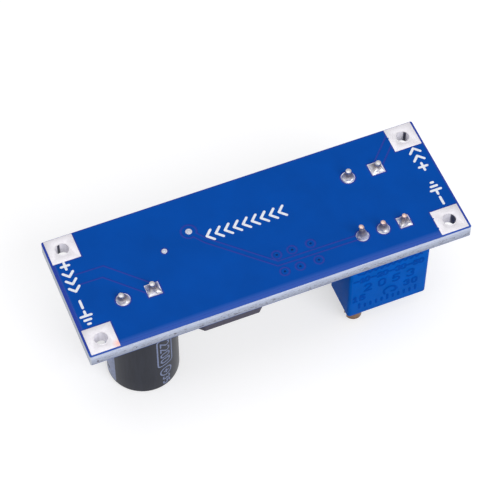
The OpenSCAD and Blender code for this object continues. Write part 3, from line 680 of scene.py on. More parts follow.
# Marks of strokes in a box one unit high: plain numbers and signs
GLYPHS = {
    "0": (0.6, [[(0.0, 0.2), (0.0, 0.8), (0.15, 1), (0.45, 1), (0.6, 0.8), (0.6, 0.2),
                 (0.45, 0), (0.15, 0), (0.0, 0.2)]]),
    "1": (0.4, [[(0.0, 0.8), (0.22, 1), (0.22, 0)], [(0.0, 0), (0.42, 0)]]),
    "2": (0.6, [[(0.0, 0.8), (0.15, 1), (0.45, 1), (0.6, 0.8), (0.6, 0.62), (0.0, 0),
                 (0.62, 0)]]),
    "3": (0.6, [[(0.0, 0.85), (0.15, 1), (0.45, 1), (0.6, 0.85), (0.6, 0.65), (0.42, 0.52),
                 (0.6, 0.38), (0.6, 0.15), (0.45, 0), (0.15, 0), (0.0, 0.15)]]),
    "5": (0.6, [[(0.58, 1), (0.05, 1), (0.0, 0.55), (0.4, 0.6), (0.6, 0.42), (0.6, 0.18),
                 (0.42, 0), (0.12, 0), (0.0, 0.12)]]),
    "+": (0.8, [[(0.0, 0.5), (0.8, 0.5)], [(0.4, 0.1), (0.4, 0.9)]]),
    "-": (0.8, [[(0.0, 0.5), (0.8, 0.5)]]),
    ">": (0.5, [[(0.0, 0.0), (0.5, 0.5), (0.0, 1.0)]]),
    "<": (0.5, [[(0.5, 0.0), (0.0, 0.5), (0.5, 1.0)]]),
    "g": (1.4, [[(0.0, 0.5), (0.5, 0.5)], [(0.5, 0.0), (0.5, 1.0)],
                [(0.95, 0.2), (0.95, 0.8)], [(1.4, 0.4), (1.4, 0.6)]]),
}


def mark_strokes(signs, height, gap=0.45):
    """Strokes of a row of signs, centred on the origin, as lists of points."""
    strokes, at = [], 0.0
    for sign in signs:
        width, lines = GLYPHS[sign]
        strokes += [[((at + x) * height, (y - 0.5) * height) for x, y in line]
                    for line in lines]
        at += width + gap
    middle = (at - gap) * height / 2
    return [[(x - middle, y) for x, y in line] for line in strokes]


def turned_marks(signs, centre, height, turn, gap):
    """Strokes of a row of signs that is turned by an angle in degrees."""
    c, s = math.cos(math.radians(turn)), math.sin(math.radians(turn))
    return [[(centre[0] + x * c - y * s, centre[1] + x * s + y * c) for x, y in line]
            for line in mark_strokes(signs, height, gap)]


def refined(node, finish, slot, rounding):
    """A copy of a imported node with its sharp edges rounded, shown in its place."""
    source, sharp = NODES[node], math.radians(38)
    mesh = source.data.copy()
    with edited(mesh) as bm:
        clean(bm, 0.6)
    scratch = placed("scratch", mesh)
    bevel = scratch.modifiers.new("rounding", "BEVEL")
    bevel.width = rounding * MM
    bevel.segments = 2
    bevel.limit_method = "ANGLE"
    bevel.angle_limit = sharp
    bevel.use_clamp_overlap = True
    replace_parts(finished(node + "_skin", evaluated(scratch), finish, slot=slot,
                         body=source["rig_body"], smooth=35), node)


def dress(node, finish):
    """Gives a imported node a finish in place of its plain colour."""
    for slot in NODES[node].material_slots:
        slot.material = finish.mat


# ---- repeated shapes by geometry nodes ----

def bead_tree(kind):
    """Flattened rings or buttons, one at each point of a mesh."""
    tree = bpy.data.node_groups.new(kind + "s_at_points", "GeometryNodeTree")
    for name, way, sort in (
            ("Points", "INPUT", "Geometry"), ("Radius", "INPUT", "Float"),
            ("Bead radius", "INPUT", "Float"), ("Flatness", "INPUT", "Float"),
            ("Finish", "INPUT", "Material"), ("Mesh", "OUTPUT", "Geometry")):
        tree.interface.new_socket(name, in_out=way, socket_type="NodeSocket" + sort)
    given = add_node(tree, "NodeGroupInput").outputs
    if kind == "ring":
        path, bead = (add_node(tree, "GeometryNodeCurvePrimitiveCircle",
                               {"Resolution": steps, "Radius": given[radius]})
                      for steps, radius in ((48, "Radius"), (12, "Bead radius")))
        shape = add_node(tree, "GeometryNodeCurveToMesh", {
            "Curve": path.outputs["Curve"], "Profile Curve": bead.outputs["Curve"]})
    else:
        shape = add_node(tree, "GeometryNodeMeshUVSphere", {
            "Segments": 32, "Rings": 12, "Radius": given["Radius"]})
    flat = add_node(tree, "ShaderNodeCombineXYZ", {0: 1, 1: 1, 2: given["Flatness"]})
    squeeze = add_node(tree, "GeometryNodeTransform", {
        "Geometry": shape.outputs["Mesh"], "Scale": flat.outputs[0]})
    beads = add_node(tree, "GeometryNodeInstanceOnPoints", {
        "Points": given["Points"], "Instance": squeeze.outputs["Geometry"]})
    real = add_node(tree, "GeometryNodeRealizeInstances", {0: beads.outputs["Instances"]})
    paint = add_node(tree, "GeometryNodeSetMaterial", {
        "Geometry": real.outputs[0], "Material": given["Finish"]})
    add_node(tree, "NodeGroupOutput", {0: paint.outputs["Geometry"]})
    return tree


def grown(name, tree, points, finish, slot, radius, flat, bead=0.05):
    """Rings or buttons from a node tree on points, sizes in millimetres."""
    holder = placed(name + "_points", mesh_mm(name + "_points", points))
    mod = holder.modifiers.new("grow", "NODES")
    mod.node_group = tree
    values = {"Radius": radius * MM, "Bead radius": bead * MM, "Flatness": flat,
              "Finish": finish.mat}
    for item in tree.interface.items_tree:
        if item.name in values:
            mod[item.identifier] = values[item.name]
    mesh = evaluated(holder)
    turn_outward(mesh)
    return finished(name, mesh, finish, slot=slot, smooth=40)


# ---- the board ----

# Centre and half width of each lead hole's ring, left to right
LEADS = [(plan_centre(b), (b[1].x - b[0].x) / 2) for b in solids_mm("lead_hole_linings")]
OUT_ROUND, OUT_SQUARE = LEADS[:2]
RIGHT_LEADS = sorted(LEADS[2:], key=lambda p: p[0][1])
PINS = sorted(RIGHT_LEADS[:3])
IN_ROUND, IN_SQUARE = sorted(RIGHT_LEADS[3:])
SQUARE = (OUT_SQUARE, IN_SQUARE, PINS[2])
VIAS = [plan_centre(b) for b in solids_mm("vias")]
FEEDBACK_VIA, GROUND_VIA = sorted(VIAS, key=lambda p: -p[1])[:2]
HEAT_VIAS = [p for p in VIAS if p not in (FEEDBACK_VIA, GROUND_VIA)]
PADS = {end + "_pad": box_mm(end + "_pad") for end in WIRE_ENDS}

# Traces on the solder side: points and width
RUNS = (([FEEDBACK_VIA, (-5.5, 1.42), (0.67, -4.41), PINS[0][0]], 0.4),
        ([OUT_SQUARE[0], (-17.45, 1.84), (-20.5, 1.9)], 1.2),
        ([(19.3, 6.8), IN_SQUARE[0]], 0.8))
FEEDBACK_ISLAND = 0.76      # radius of the copper round the feedback via

# Openings in the copper: room round the corner pads, the lead rings and the small parts'
# pads, and radii round the vias
SOLDER_PAD_ROOM, SOLDER_RING_ROOM = 0.13, 0.16
PART_PAD_ROOM, PART_RING_ROOM, SMALL_PAD_ROOM = 0.16, 0.2, 0.1
FEEDBACK_OPEN, GROUND_OPEN, HEAT_OPEN, PART_VIA_OPEN = 1.0, 0.47, 0.64, 0.55
OUTLINE_W, OUTLINE_ROOM = 0.15, 0.22    # stroke of the parts' outlines, room round a part
MARK_SUNK = 0.002           # how far a printed mark reaches into the mask


def combined(target, cutters, name, operation="DIFFERENCE"):
    """Takes the cutters' shapes out of a shape, or adds them, and returns the mesh."""
    main, tool = (placed(n, mesh_mm(n, *shape))
                  for n, shape in ((name, target), ("tool", cutters)))
    mod = main.modifiers.new("combine", "BOOLEAN")
    mod.object = tool
    mod.operation = operation
    mod.solver = "EXACT"
    mod.use_self = True
    mesh = evaluated(main)
    bpy.data.objects.remove(tool)
    return mesh


def pressed(lines, width, low, high):
    """Strokes with round ends, made one shape where they meet or cross."""
    solids = []
    for line in lines:
        solids += [prism(disc(p, width / 2, 10), low, high) for p in dict.fromkeys(line)]
        solids += [prism(stroke([a, b], width), low, high) for a, b in zip(line, line[1:])]
    mesh = combined(solids[0], join_shapes(solids[1:]), "crossing", "UNION")
    with edited(mesh) as bm:
        clean(bm, 1)
    shape = ([tuple(v.co / MM) for v in mesh.vertices],
             [list(f.vertices) for f in mesh.polygons])
    bpy.data.meshes.remove(mesh)
    return shape


def pad_cuts(boxes, room):
    return [rectangle(a.x - room, a.y - room, b.x + room, b.y + room) for a, b in boxes]


def ring_cuts(room):
    """Openings round the rings of the lead holes, square or round."""
    found = []
    for place in LEADS:
        (x, y), r = place[0], place[1] + room
        found.append(rectangle(x - r, y - r, x + r, y + r) if place in SQUARE
                     else disc((x, y), r))
    return found


def masked_copper(name, slab, cuts, islands, low, high, finish):
    """Copper under its mask: a slab with cut clearances, and islands inside them."""
    tool = join_shapes([prism(c, low - 0.1, high + 0.1) for c in cuts])
    mesh = combined(prism(slab, low, high), tool, name)
    if islands:
        first, *rest = [prism(i, low, high) for i in islands]
        extra = combined(first, join_shapes(rest), name + "_islands", "UNION")
        with edited(mesh) as bm:
            bm.from_mesh(extra)
        bpy.data.meshes.remove(extra)
    return finished(name, mesh, finish, slot="board_laminate", smooth=30)


class CONVERTER_OT_board(bpy.types.Operator):
    """Board, masked copper with its clearances, plated rims and marks"""
    bl_idname = "converter.board"
    bl_label = "Board"

    def execute(self, context):
        s = context.scene.converter_board
        masked = copper_mask(s.mask_blue)
        dress("printed_circuit_board", bare_board(s.mask_bare, s.edge))
        ground = PADS["output_ground_pad"]
        tin = tinned_pad(s.pad_tin,
                         spot=(ground[1].x - 0.1, ground[0].y + 0.35, PAD_Z))
        for node in PADS:
            refined(node, tin, "tinned_copper", rounding=0.018)
        dress("lead_hole_linings", tin)
        self.solder_side(masked, s.gap / MM, s.border / MM)
        self.component_side(masked)
        self.mask_fingers(masked)
        # the darker mask is painted shade in the tented vias' pits
        self.vias(masked, shade(s.mask_blue, 0.4))
        self.marks(s)
        rims = [(*MOUNTS[end + "_hole"].xy, PAD_Z) for end in WIRE_ENDS]
        grown("wire_hole_rims", bead_tree("ring"), rims, tin, "tinned_copper",
              radius=0.8, flat=0.45)
        return {"FINISHED"}

    def solder_side(self, masked, gap, border):
        low, high = BOARD_LOW, BOARD_HIGH
        slab = rectangle(low.x + border, low.y + border, high.x - 0.2, high.y - 0.15)
        cuts = pad_cuts(PADS.values(), SOLDER_PAD_ROOM) + ring_cuts(SOLDER_RING_ROOM)
        cuts += [disc(FEEDBACK_VIA, FEEDBACK_OPEN), disc(GROUND_VIA, GROUND_OPEN)]
        cuts += [disc(v, HEAT_OPEN) for v in HEAT_VIAS]
        cuts += [stroke(points, width + 2 * gap) for points, width in RUNS]
        islands = [stroke(*run) for run in RUNS] + [disc(FEEDBACK_VIA, FEEDBACK_ISLAND)]
        masked_copper("solder_side_copper", slab, cuts, islands, SOLDER_Z, MASK_Z, masked)

    def component_side(self, masked):
        low, high, inset = BOARD_LOW, BOARD_HIGH, 0.4
        slab = rectangle(low.x + inset, low.y + inset, high.x - inset, high.y - inset)
        cuts = pad_cuts(PADS.values(), PART_PAD_ROOM) + ring_cuts(PART_RING_ROOM)
        cuts += pad_cuts(solids_mm("component_pads"), SMALL_PAD_ROOM)
        cuts += [disc(v, PART_VIA_OPEN) for v in (FEEDBACK_VIA, GROUND_VIA)]
        masked_copper("component_side_copper", slab, cuts, [], PART_Z - COPPER_T, PART_Z,
                      masked)

    def mask_fingers(self, masked):
        """Mask that runs onto the left edges of the input pads."""
        shapes = []
        for pad, spots in (("input_plus_pad", (0.62,)), ("input_ground_pad", (0.3, 0.72))):
            a, b = PADS[pad]
            for t in spots:
                y = a.y + t * (b.y - a.y)
                outline = [(a.x + across, y + along) for across, along in (
                    (-0.15, -0.14), (0.07, -0.08), (0.1, 0), (0.07, 0.08), (-0.15, 0.14))]
                shapes.append(prism(outline, SOLDER_Z, PAD_Z + 0.01))
        piece("mask_fingers", *join_shapes(shapes), masked, slot="board_laminate", smooth=30)

    def vias(self, masked, pit_shade):
        ring, button = bead_tree("ring"), bead_tree("button")
        pale = tinned_pad(linear(196, 200, 216), "via_tin")
        # painted shade: a darker copy of the mask on each tented via's pit
        pit = copper_mask(pit_shade, "sunk_mask_shade")
        bare, tented = "tinned_copper", "board_laminate"
        rows = []       # each ends with its radius, flatness and thickness
        for name, place, r in (("feedback_via", FEEDBACK_VIA, 0.27),
                               ("ground_via", GROUND_VIA, 0.21)):
            spot = [(*place, PAD_Z - 0.02)]
            rows += [(name + "_ring", ring, spot, pale, bare, r, 0.4, 0.12),
                     (name + "_dome", button, spot, pale, bare, r - 0.03, 0.38)]
        rows += [("tented_vias", ring, [(*v, MASK_Z - 0.012) for v in HEAT_VIAS], masked,
                  tented, 0.27, 0.25, 0.15),
                 ("tented_via_pits", button, [(*v, MASK_Z - 0.005) for v in HEAT_VIAS], pit,
                  tented, 0.15, 0.12)]
        for row in rows:
            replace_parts(grown(*row), "vias")

    def marks(self, s):
        """Plus and minus signs, ground signs and arrows that show the way of the current."""
        lines = []
        for signs, place, turn, size in (
                ("+>>", (21.0, 2.7), 90, 1.25), ("-g", (20.95, -2.4), 90, 1.2),
                ("+>>>", (-21.05, 2.5), -90, 1.15), ("-g", (-21.1, -2.4), -90, 1.2)):
            lines += turned_marks(signs, place, size, turn, 0.4)
        lines += turned_marks("<" * 9, (-0.55, 1.9), 1.35, 0, 0.3)
        under, ink_t = PART_Z - COPPER_T, s.ink_t / MM
        shapes = [pressed(lines, s.ink_w / MM, MASK_Z - MARK_SUNK, MASK_Z + ink_t),
                  pressed(self.outlines(), OUTLINE_W, under - ink_t, under + MARK_SUNK)]
        piece("board_marks", *join_shapes(shapes), marking_ink(s.ink),
              slot="board_laminate", smooth=30)

    def outlines(self):
        """Outlines of the parts on the component side."""
        found = []
        for side in ("output", "input"):
            low, high = box_mm(side + "_capacitor_sleeve")
            centre, r = plan_centre((low, high)), (high.x - low.x) / 2 + OUTLINE_ROOM
            found += [arc(centre, r, start, start + 104, 26) for start in (-52, 128)]
        low, high = box_mm("diode_body")
        found += [[(low.x - 1.15, y), (high.x + 1.15, y)] for y in (low.y - 0.2, high.y + 0.2)]
        low, high = box_mm("regulator_body")
        found += [[(x, low.y + 0.3), (x, high.y + 0.2)] for x in (low.x - 0.2, high.x + 0.2)]
        for a, b in solids_mm("chip_capacitor_bodies") + solids_mm("chip_resistor_bodies"):
            x, y = plan_centre((a, b))
            half = max(b.x - a.x, b.y - a.y) / 2
            off = min(b.x - a.x, b.y - a.y) / 2 + OUTLINE_ROOM
            for k in (-off, off):
                found.append([(x - half, y + k), (x + half, y + k)] if b.x - a.x > b.y - a.y
                             else [(x + k, y - half), (x + k, y + half)])
        return found


# ---- leads and their solder ----

JOINT_TOP = 0.7             # share of a lead's height that its solder climbs
CORNER_REACH = 1.38         # reach of a square joint's corners over that of its sides
WARM_TIP = 0.35             # length of a trimmer pin's end that shows copper

# How far the end of each lead leans along X
LEANS = {OUT_ROUND: -0.2, OUT_SQUARE: -0.12, IN_ROUND: 0.02, IN_SQUARE: 0.22,
         PINS[0]: -0.26, PINS[1]: -0.12, PINS[2]: -0.06}


def leaned(verts, lean, tip):
    """Bends a lead's end, or the top of its joint, over along X."""
    return [(x + lean * max(0, (z - PAD_Z) / (tip - PAD_Z)) ** 1.6, y, z)
            for x, y, z in verts]


def solder_joint(centre, reach, square, lead_r, top, seed, lumps):
    """A cone of solder with an uneven foot. Returns the shape and how far each point
    has climbed."""
    rng = random.Random(seed)
    rings, steps = 20, 64
    neck = lead_r + 0.04
    phase = [rng.uniform(0, 2 * math.pi) for _ in range(6)]
    verts, climb = [], []
    foot = PAD_Z - 0.02
    for k in range(rings + 1):
        t = k / rings
        swell = math.exp(-((t - 0.16) / 0.1) ** 2)
        z = foot + (top - foot) * (0.04 + 0.96 * t if k else 0.0)
        for i in range(steps):
            a = 2 * math.pi * i / steps
            base = reach
            if square:
                flat = reach / max(abs(math.cos(a)), abs(math.sin(a)))
                pulled = 1 - 0.12 * (1 - abs(math.sin(2 * a))) ** 1.5
                base = min(flat, reach * CORNER_REACH) * pulled
            base += lumps * 0.6 * sum(math.sin((n + 2) * a + phase[n]) / (n + 1)
                                      for n in range(4)) * (1 - t)
            power = 1.35 + 0.2 * math.sin(2 * a + phase[1])
            r = neck + (base - neck) * (1 - t) ** power
            r += lumps * swell * (math.sin(3 * a + phase[2]) + 0.6 * math.sin(5 * a + phase[4]))
            verts.append((centre[0] + r * math.cos(a), centre[1] + r * math.sin(a), z))
            climb.append(t + 0.1 * math.sin(a + phase[5]))
    faces = [[k * steps + i, k * steps + (i + 1) % steps, (k + 1) * steps + (i + 1) % steps,
              (k + 1) * steps + i] for k in range(rings) for i in range(steps)]
    faces.append(list(range(steps - 1, -1, -1)))
    faces.append([rings * steps + i for i in range(steps)])
    return verts, faces, climb


def cut_lead(centre, r, foot, tip):
    """A lead from its foot to a tip that is cut off and a little burred."""
    stem = [(r, foot + (PAD_Z - foot) * t) for t in (0, 0.5, 1)]
    stem += [(r, PAD_Z + (tip - 0.45 - PAD_Z) * t) for t in (0.25, 0.5, 0.75, 1)]
    burr = [(r + 0.04, tip - 0.3), (r + 0.05, tip - 0.17), (r + 0.015, tip - 0.055),
            (r * 0.7, tip - 0.01)]
    return lathe([(0, foot), *stem, *burr, (0, tip)], centre, 32)


class CONVERTER_OT_solder(bpy.types.Operator):
    """Soldered joints and the cut ends of the leads"""
    bl_idname = "converter.solder"
    bl_label = "Solder and leads"

    def execute(self, context):
        s = context.scene.converter_solder
        metal = frozen_solder(s.metal)
        wire = drawn_wire("tinned_wire", linear(206, 204, 208))
        warm = drawn_wire("cut_copper", s.cut_warm, 0.32)
        joints, climbs, seed = [], [], 11
        for node, name, leads in (
                ("output_capacitor_leads", "output_capacitor_lead_wires",
                 (OUT_ROUND, OUT_SQUARE)),
                ("input_capacitor_leads", "input_capacitor_lead_wires",
                 (IN_ROUND, IN_SQUARE)),
                ("trimmer_pins", "trimmer_pin_wires", PINS)):
            stems, mats = [], []
            for lead, (low, high) in zip(leads, solids_mm(node)):
                (centre, reach), tip, r = lead, high.z, (high.x - low.x) / 2
                seed += 1
                v, f, c = solder_joint(centre, reach - 0.02, lead in SQUARE, r,
                                       PAD_Z + JOINT_TOP * (tip - PAD_Z), seed,
                                       s.lumps / MM)
                joints.append((leaned(v, LEANS[lead], tip), f))
                climbs += c
                v, f = cut_lead(centre, r, low.z, tip)
                v = leaned(v, LEANS[lead], tip)
                stems.append((v, f))
                mats += [int(leads is PINS and min(v[i][2] for i in face) > tip - WARM_TIP)
                         for face in f]
            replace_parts(piece(name, *join_shapes(stems), wire, warm, slot="tinned_wire",
                              smooth=45, face_mats=mats), node)
        obj = piece("soldered_joints", *join_shapes(joints), metal, slot="solder", smooth=60)
        layer = obj.data.attributes.new("climb", "FLOAT", "POINT")
        layer.data.foreach_set("value", climbs)
        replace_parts(obj, "lead_solder_joints")
        dress("surface_solder_joints", metal)
        return {"FINISHED"}


# ---- capacitors ----

SLEEVE_T = 0.1
SLEEVE_ROUND = 0.4          # outer radius of the sleeve's ends
STRIPE_AT = math.pi         # angle of the stripe's middle round the sleeve
NUMBERS_AT = STRIPE_AT + 1.92           # angle of the printed numbers' middle
NUMBERS_Z = PART_Z / 2 + 0.9            # and its height
NUMBERS_W, NUMBERS_SUNK, NUMBERS_T = 0.18, 0.03, 0.004


def sleeve_profile(r, tall, depth):
    """Outer line of a sleeve of a radius and height from its own foot at the board, or of
    a shell that lies a depth inside it."""
    bead_r, bead_out, bead_z = 0.4, 0.02, 2.0
    corner, bead = SLEEVE_ROUND - depth, bead_r + depth - SLEEVE_T
    wall, top = r - depth, tall - depth
    off = r + bead_out - wall
    half = math.sqrt(max(0.0, bead ** 2 - off ** 2))
    turn = math.degrees(math.atan2(half, off))
    upper = bead_z + half
    return (arc((wall - corner, depth + corner), corner, -90, 0, 8)
            + [(wall, bead_z - half - 0.2)]
            + arc((wall + off, bead_z), bead, 180 + turn, 180 - turn, 10)
            + [(wall, upper + 0.2)]
            + [(wall, upper + (top - corner - upper) * t) for t in (0.2, 0.4, 0.6, 0.8)]
            + arc((wall - corner, top - corner), corner, 0, 90, 8))


def sleeve_shape(centre, r, tall, lip):
    outer, inner = sleeve_profile(r, tall, 0), sleeve_profile(r, tall, SLEEVE_T - 0.01)
    ring = ([(lip, outer[0][1])] + outer + [(lip, outer[-1][1])]
            + [(lip, inner[-1][1])] + inner[::-1] + [(lip, inner[0][1])])
    # own height runs down from the board, so the line turns round when it is set upright
    return lathe([(x, PART_Z - z) for x, z in ring][::-1], centre, 96)


class CONVERTER_OT_capacitors(bpy.types.Operator):
    """Can capacitors with their shrunk and printed sleeves"""
    bl_idname = "converter.capacitors"
    bl_label = "Capacitors"

    def execute(self, context):
        s = context.scene.converter_capacitors
        finishes = {"can": brushed_can(linear(214, 215, 218)),
                    "bung": plain_resin("bung_rubber", linear(40, 40, 42), 0.7),
                    "winding": rolled_foil(linear(196, 190, 176))}
        ink = marking_ink(shade(s.stripe, 0.75), "sleeve_ink")
        for side in ("output", "input"):
            low, high = box_mm(side + "_capacitor_sleeve")
            centre, r = plan_centre((low, high)), (high.x - low.x) / 2
            film = shrunk_sleeve(side + "_sleeve_film", centre, s.sleeve, s.stripe,
                                 s.stripe_w, STRIPE_AT)
            sleeve = piece(side + "_sleeve", *sleeve_shape(centre, r, high.z - low.z, r - 0.8),
                           film, slot="printed_sleeve", smooth=50)
            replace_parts(sleeve, side + "_capacitor_sleeve")
            self.numbers(side, centre, r, ink)
            for part, finish in finishes.items():
                dress(side + "_capacitor_" + part, finish)
        return {"FINISHED"}

    def numbers(self, side, centre, r, ink):
        """A framed plain number, a plus sign in a ring and a smaller number that run along
        the sleeve."""
        lines = mark_strokes("2200", 1.15, 0.35)
        plus = 3.95
        lines += [[(plus - 0.35, 0), (plus + 0.35, 0)], [(plus, 0.1), (plus, 0.35)],
                  [(plus, -0.35), (plus, -0.1)]]
        lines += [[(x + 5.7, y) for x, y in line] for line in mark_strokes("35", 0.85)]
        ring = disc((plus, 0), 0.75, 24)
        box = []
        for x, y, start in ((2.2, -0.65, -90), (2.2, 0.65, 0), (-2.4, 0.65, 90),
                            (-2.4, -0.65, 180)):
            box += arc((x, y), 0.35, start, start + 90, 5)
        lines += [ring + ring[:1], box + box[:1]]
        shapes = [self.wrapped(line, centre, r) for line in lines]
        obj = piece(side + "_sleeve_numbers", *join_shapes(shapes), ink,
                    slot="printed_sleeve", smooth=30)
        turn_outward(obj.data)

    def wrapped(self, line, centre, r):
        """A stroke laid round the sleeve in short steps, its own X down from the board."""
        points, closed = [], line[0] == line[-1]
        for a, b in zip(line, line[1:]):
            steps = max(1, round(math.dist(a, b) / 0.2))
            points += [(a[0] + (b[0] - a[0]) * k / steps, a[1] + (b[1] - a[1]) * k / steps)
                       for k in range(steps)]
        if not closed:
            points.append(line[-1])
        n = len(points)
        outline = stroke(points, NUMBERS_W, closed)
        verts = []
        for side in (outline[:n], outline[:n - 1:-1]):
            for out in (r - NUMBERS_SUNK, r + NUMBERS_T):
                for x, y in side:
                    a = NUMBERS_AT + y / r
                    verts.append((centre[0] + out * math.cos(a),
                                  centre[1] + out * math.sin(a), NUMBERS_Z - x))
        faces = [[a * n + i, a * n + (i + 1) % n, b * n + (i + 1) % n, b * n + i]
                 for i in range(n if closed else n - 1)
                 for a, b in ((0, 1), (1, 3), (3, 2), (2, 0))]
        if not closed:
            faces += [[i, n + i, 3 * n + i, 2 * n + i] for i in (0, n - 1)]
        return verts, faces


# ---- trimmer ----

TRIMMER_MARK_W, TRIMMER_MARK_SUNK = 0.27, 0.02


class CONVERTER_OT_trimmer(bpy.types.Operator):
    """Trimmer with its moulded housing, brass screw and inner parts"""
    bl_idname = "converter.trimmer"
    bl_label = "Trimmer"

    def execute(self, context):
        s = context.scene.converter_trimmer
        refined("trimmer_housing", moulded_blue(s.plastic), "trimmer_plastic",
                rounding=0.07)
        # the marks take a darker copy of the housing's plastic as painted shade
        self.marks(moulded_blue(s.marks, "trimmer_mark_plastic_shaded"), s.raised / MM)
        dress("trimmer_screw", turned_brass(s.brass))
        for node, name, rgb, rough in (
                ("trimmer_base", "sealing_resin", (214, 204, 178), 0.6),
                ("trimmer_o_ring", "ring_rubber", (168, 84, 66), 0.5),
                ("trimmer_rotor", "rotor_resin", (232, 226, 206), 0.5),
                ("trimmer_element", "track_ceramic", (236, 234, 226), 0.6)):
            dress(node, plain_resin(name, linear(*rgb), rough))
        dress("trimmer_screw_clip", drawn_wire("clip_steel", linear(190, 190, 192)))
        dress("trimmer_wiper", drawn_wire("contact_alloy", linear(214, 190, 130)))
        return {"FINISHED"}

    def marks(self, blue, raised):
        """A wave line, rows of plain numbers, a turning arrow and a scale, moulded on the
        near face. Heights run down from the housing's end at the board."""
        low, high = box_mm("trimmer_housing")
        near, end = low.y, high.z
        x0, xm, x1 = (pin[0][0] for pin in PINS)
        left, wave_z = x0 - 1.4, end - 1.95
        wave = [(left + 0.7 + i * 0.36, wave_z + (0.2 if i % 2 else -0.2)) for i in range(20)]
        lines = [[(left, wave_z)] + wave + [(x1 + 1.3, wave_z)]]

        def row(signs, x, down, size, gap=0.5):
            lines.extend([(x + u, end - down + v) for u, v in line]
                         for line in mark_strokes(signs, size, gap))
        row("-10-20-30-50", xm - 0.15, 3.3, 0.78, 0.28)
        for i, sign in enumerate("2053"):
            row(sign, x0 - 0.1 + i * 1.75, 5.1, 1.25)
        row("15", left + 0.3, 6.9, 0.9)
        arrow = arc((xm + 0.2, end - 7.3), 0.75, 215, -35, 14)
        tip = arrow[-1]
        lines += [arrow, [(tip[0] - 0.4, tip[1] + 0.1), tip, (tip[0] + 0.28, tip[1] + 0.42)]]
        row("30", x1 + 0.2, 6.9, 0.9)
        for i in range(11):
            x = x0 - 1.0 + i * 0.7
            lines.append([(x, end - 8.9), (x, end - (8.4 if i % 5 else 8.1))])
        verts, faces = pressed(lines, TRIMMER_MARK_W, -TRIMMER_MARK_SUNK, raised)
        obj = piece("trimmer_marks", [(x, near - d, z) for x, z, d in verts], faces, blue,
                    slot="trimmer_plastic", smooth=30)
        turn_outward(obj.data)


# ---- inductor, regulator, diode and chip parts ----

class CONVERTER_OT_parts(bpy.types.Operator):
    """Inductor, regulator, diode and chip parts on the component side"""
    bl_idname = "converter.parts"
    bl_label = "Inductor and small parts"

    def execute(self, context):
        s = context.scene.converter_parts
        rounding = s.edge_round / MM
        for slot, finish, nodes in (
                ("ferrite", granular("ferrite", s.ferrite, 0.12, 0.7, 0.3),
                 {"inductor_shield": 2, "inductor_core": 1.5}),
                ("moulded_epoxy", granular("moulded_epoxy", s.epoxy, 0.08, 0.55),
                 {"regulator_body": 1, "diode_body": 1}),
                ("chip_ceramic", granular("chip_ceramic", linear(190, 156, 112), 0.06, 0.5),
                 {"chip_capacitor_bodies": 0.6}),
                ("resistor_glaze", granular("resistor_glaze", linear(34, 34, 38), 0.1, 0.35),
                 {"chip_resistor_bodies": 0.4}),
                ("chip_metal", drawn_wire("chip_metal", linear(204, 204, 208), 0.4),
                 {"chip_capacitor_ends": 1, "chip_resistor_ends": 0.6})):
            for node, factor in nodes.items():
                refined(node, finish, slot, rounding * factor)
        tin = drawn_wire("tinned_strip", linear(202, 202, 206))
        for node in ("inductor_terminals", "regulator_heat_tab", "regulator_leads",
                     "diode_terminals"):
            dress(node, tin)
        dress("inductor_winding", enamelled_wire(linear(196, 118, 62)))
        dress("component_pads", tinned_pad(linear(214, 212, 216), "component_pad_tin"))
        return {"FINISHED"}


# ---- stage ----

def camera_or_gloss(tree):
    """1 for what the camera, a mirror or a glass sees, and 0 for light on a surface."""
    ray = add_node(tree, "ShaderNodeLightPath").outputs
    other = add_node(tree, "ShaderNodeMath", {
        0: ray["Is Glossy Ray"], 1: ray["Is Transmission Ray"]}, operation="MAXIMUM")
    return add_node(tree, "ShaderNodeMath", {
        0: ray["Is Camera Ray"], 1: other.outputs[0]}, operation="MAXIMUM").outputs[0]


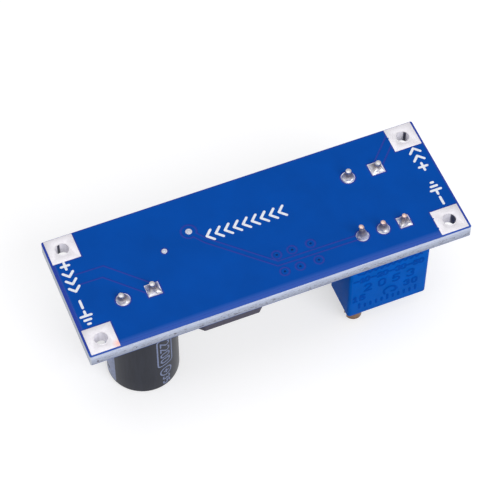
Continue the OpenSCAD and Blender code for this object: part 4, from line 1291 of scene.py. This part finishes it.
class CONVERTER_OT_stage(bpy.types.Operator):
    """Pale floor, soft light and the camera"""
    bl_idname = "converter.stage"
    bl_label = "Stage"

    def execute(self, context):
        s = context.scene.converter_stage
        scene = context.scene
        self.camera(scene)
        self.floor(s.floor)
        self.sky(scene, s.sky)
        self.lamps(s.key_power)
        scene.view_settings.view_transform = "Standard"
        return {"FINISHED"}

    def camera(self, scene):
        data = bpy.data.cameras.new("camera")
        data.sensor_width = 36
        data.lens = 151.5
        data.clip_start, data.clip_end = 0.01, 10
        # its axes, and its place over the board in millimetres
        right = Vector((0.92490, -0.38020, 0.00299))
        up = Vector((0.31235, 0.76430, 0.56416))
        back = Vector((-0.21678, -0.52086, 0.82566))
        turn = Matrix((right, up, back)).transposed().to_4x4()
        at = Vector((-51.68, -122.2, SOLDER_Z + 191.2)) * MM
        scene.camera = placed("camera", data)
        scene.camera.matrix_world = Matrix.Translation(at) @ turn

    def floor(self, rgb):
        """Paper that takes a shadow and shows near white."""
        half, low, glow = 0.8, -0.00002, 0.56
        mesh = bpy.data.meshes.new("floor")
        mesh.from_pydata([(x, y, low) for x, y in rectangle(-half, -half, half, half)], [],
                         [(0, 1, 2, 3)])
        mat = bpy.data.materials.new("floor_paper")
        mat.use_nodes = True
        tree = mat.node_tree
        tree.nodes.clear()
        paper = add_node(tree, "ShaderNodeBsdfDiffuse", {"Color": (*rgb, 1)})
        level = add_node(tree, "ShaderNodeMath", {0: camera_or_gloss(tree), 1: glow},
                         operation="MULTIPLY")
        light = add_node(tree, "ShaderNodeEmission", {
            "Color": (1, 1, 1, 1), "Strength": level.outputs[0]})
        both = add_node(tree, "ShaderNodeAddShader", {0: paper.outputs[0],
                                                      1: light.outputs[0]})
        add_node(tree, "ShaderNodeOutputMaterial", {"Surface": both.outputs[0]})
        mesh.materials.append(mat)
        placed("floor", mesh)

    def sky(self, scene, strength):
        """Even light, seen as plain white."""
        world = bpy.data.worlds.new("studio")
        world.use_nodes = True
        tree = world.node_tree
        even = tree.nodes["Background"]
        even.inputs["Color"].default_value = (1, 1, 1, 1)
        even.inputs["Strength"].default_value = strength
        white = add_node(tree, "ShaderNodeBackground", {"Strength": 1})
        pick = add_node(tree, "ShaderNodeMixShader", {
            0: camera_or_gloss(tree), 1: even.outputs[0], 2: white.outputs[0]})
        feed(tree, pick.outputs[0], tree.nodes["World Output"].inputs["Surface"])
        scene.world = world

    def lamps(self, power):
        for name, size, energy, place in (
                ("soft_box", 0.35, power, (0.12, -0.42, 0.36)),
                ("top_panel", 0.5, power * 0.6, (0.0, 0.1, 0.6))):
            data = bpy.data.lights.new(name, "AREA")
            data.shape = "SQUARE"
            data.size = size
            data.energy = energy
            lamp = placed(name, data)
            lamp.location = place
            lamp.rotation_mode = "QUATERNION"
            lamp.rotation_quaternion = (-Vector(place)).to_track_quat("-Z", "Y")


class CONVERTER_PT_looks(bpy.types.Panel):
    """Builds each group of pieces"""
    bl_label = "Converter board"
    bl_space_type = "VIEW_3D"
    bl_region_type = "UI"
    bl_category = "Converter board"

    def draw(self, context):
        for op in OPERATORS:
            self.layout.operator(op.bl_idname, text=op.bl_label)
        for key, group in GROUPS.items():
            column = self.layout.column(heading=key.replace("converter_", ""))
            for name in group.__annotations__:
                column.prop(getattr(context.scene, key), name)


GROUPS = {"converter_board": BoardSettings, "converter_solder": SolderSettings,
          "converter_capacitors": CapacitorSettings, "converter_trimmer": TrimmerSettings,
          "converter_parts": PartSettings, "converter_stage": StageSettings}
OPERATORS = (CONVERTER_OT_stage, CONVERTER_OT_board, CONVERTER_OT_solder,
             CONVERTER_OT_capacitors, CONVERTER_OT_trimmer, CONVERTER_OT_parts)


def register():
    for group in GROUPS.values():
        bpy.utils.register_class(group)
    for key, group in GROUPS.items():
        setattr(bpy.types.Scene, key, bpy.props.PointerProperty(type=group))
    for cls in (*OPERATORS, CONVERTER_PT_looks):
        bpy.utils.register_class(cls)


def unregister():
    for cls in (CONVERTER_PT_looks, *reversed(OPERATORS)):
        bpy.utils.unregister_class(cls)
    for key in GROUPS:
        delattr(bpy.types.Scene, key)
    for group in reversed(GROUPS.values()):
        bpy.utils.unregister_class(group)


def main():
    register()
    for obj in list(bpy.data.objects):
        if obj.name in ("Cube", "Light", "Camera"):
            bpy.data.objects.remove(obj)
    for op in OPERATORS:
        group, call = op.bl_idname.split(".")
        getattr(getattr(bpy.ops, group), call)()
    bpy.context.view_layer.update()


if __name__ == "__main__":
    main()
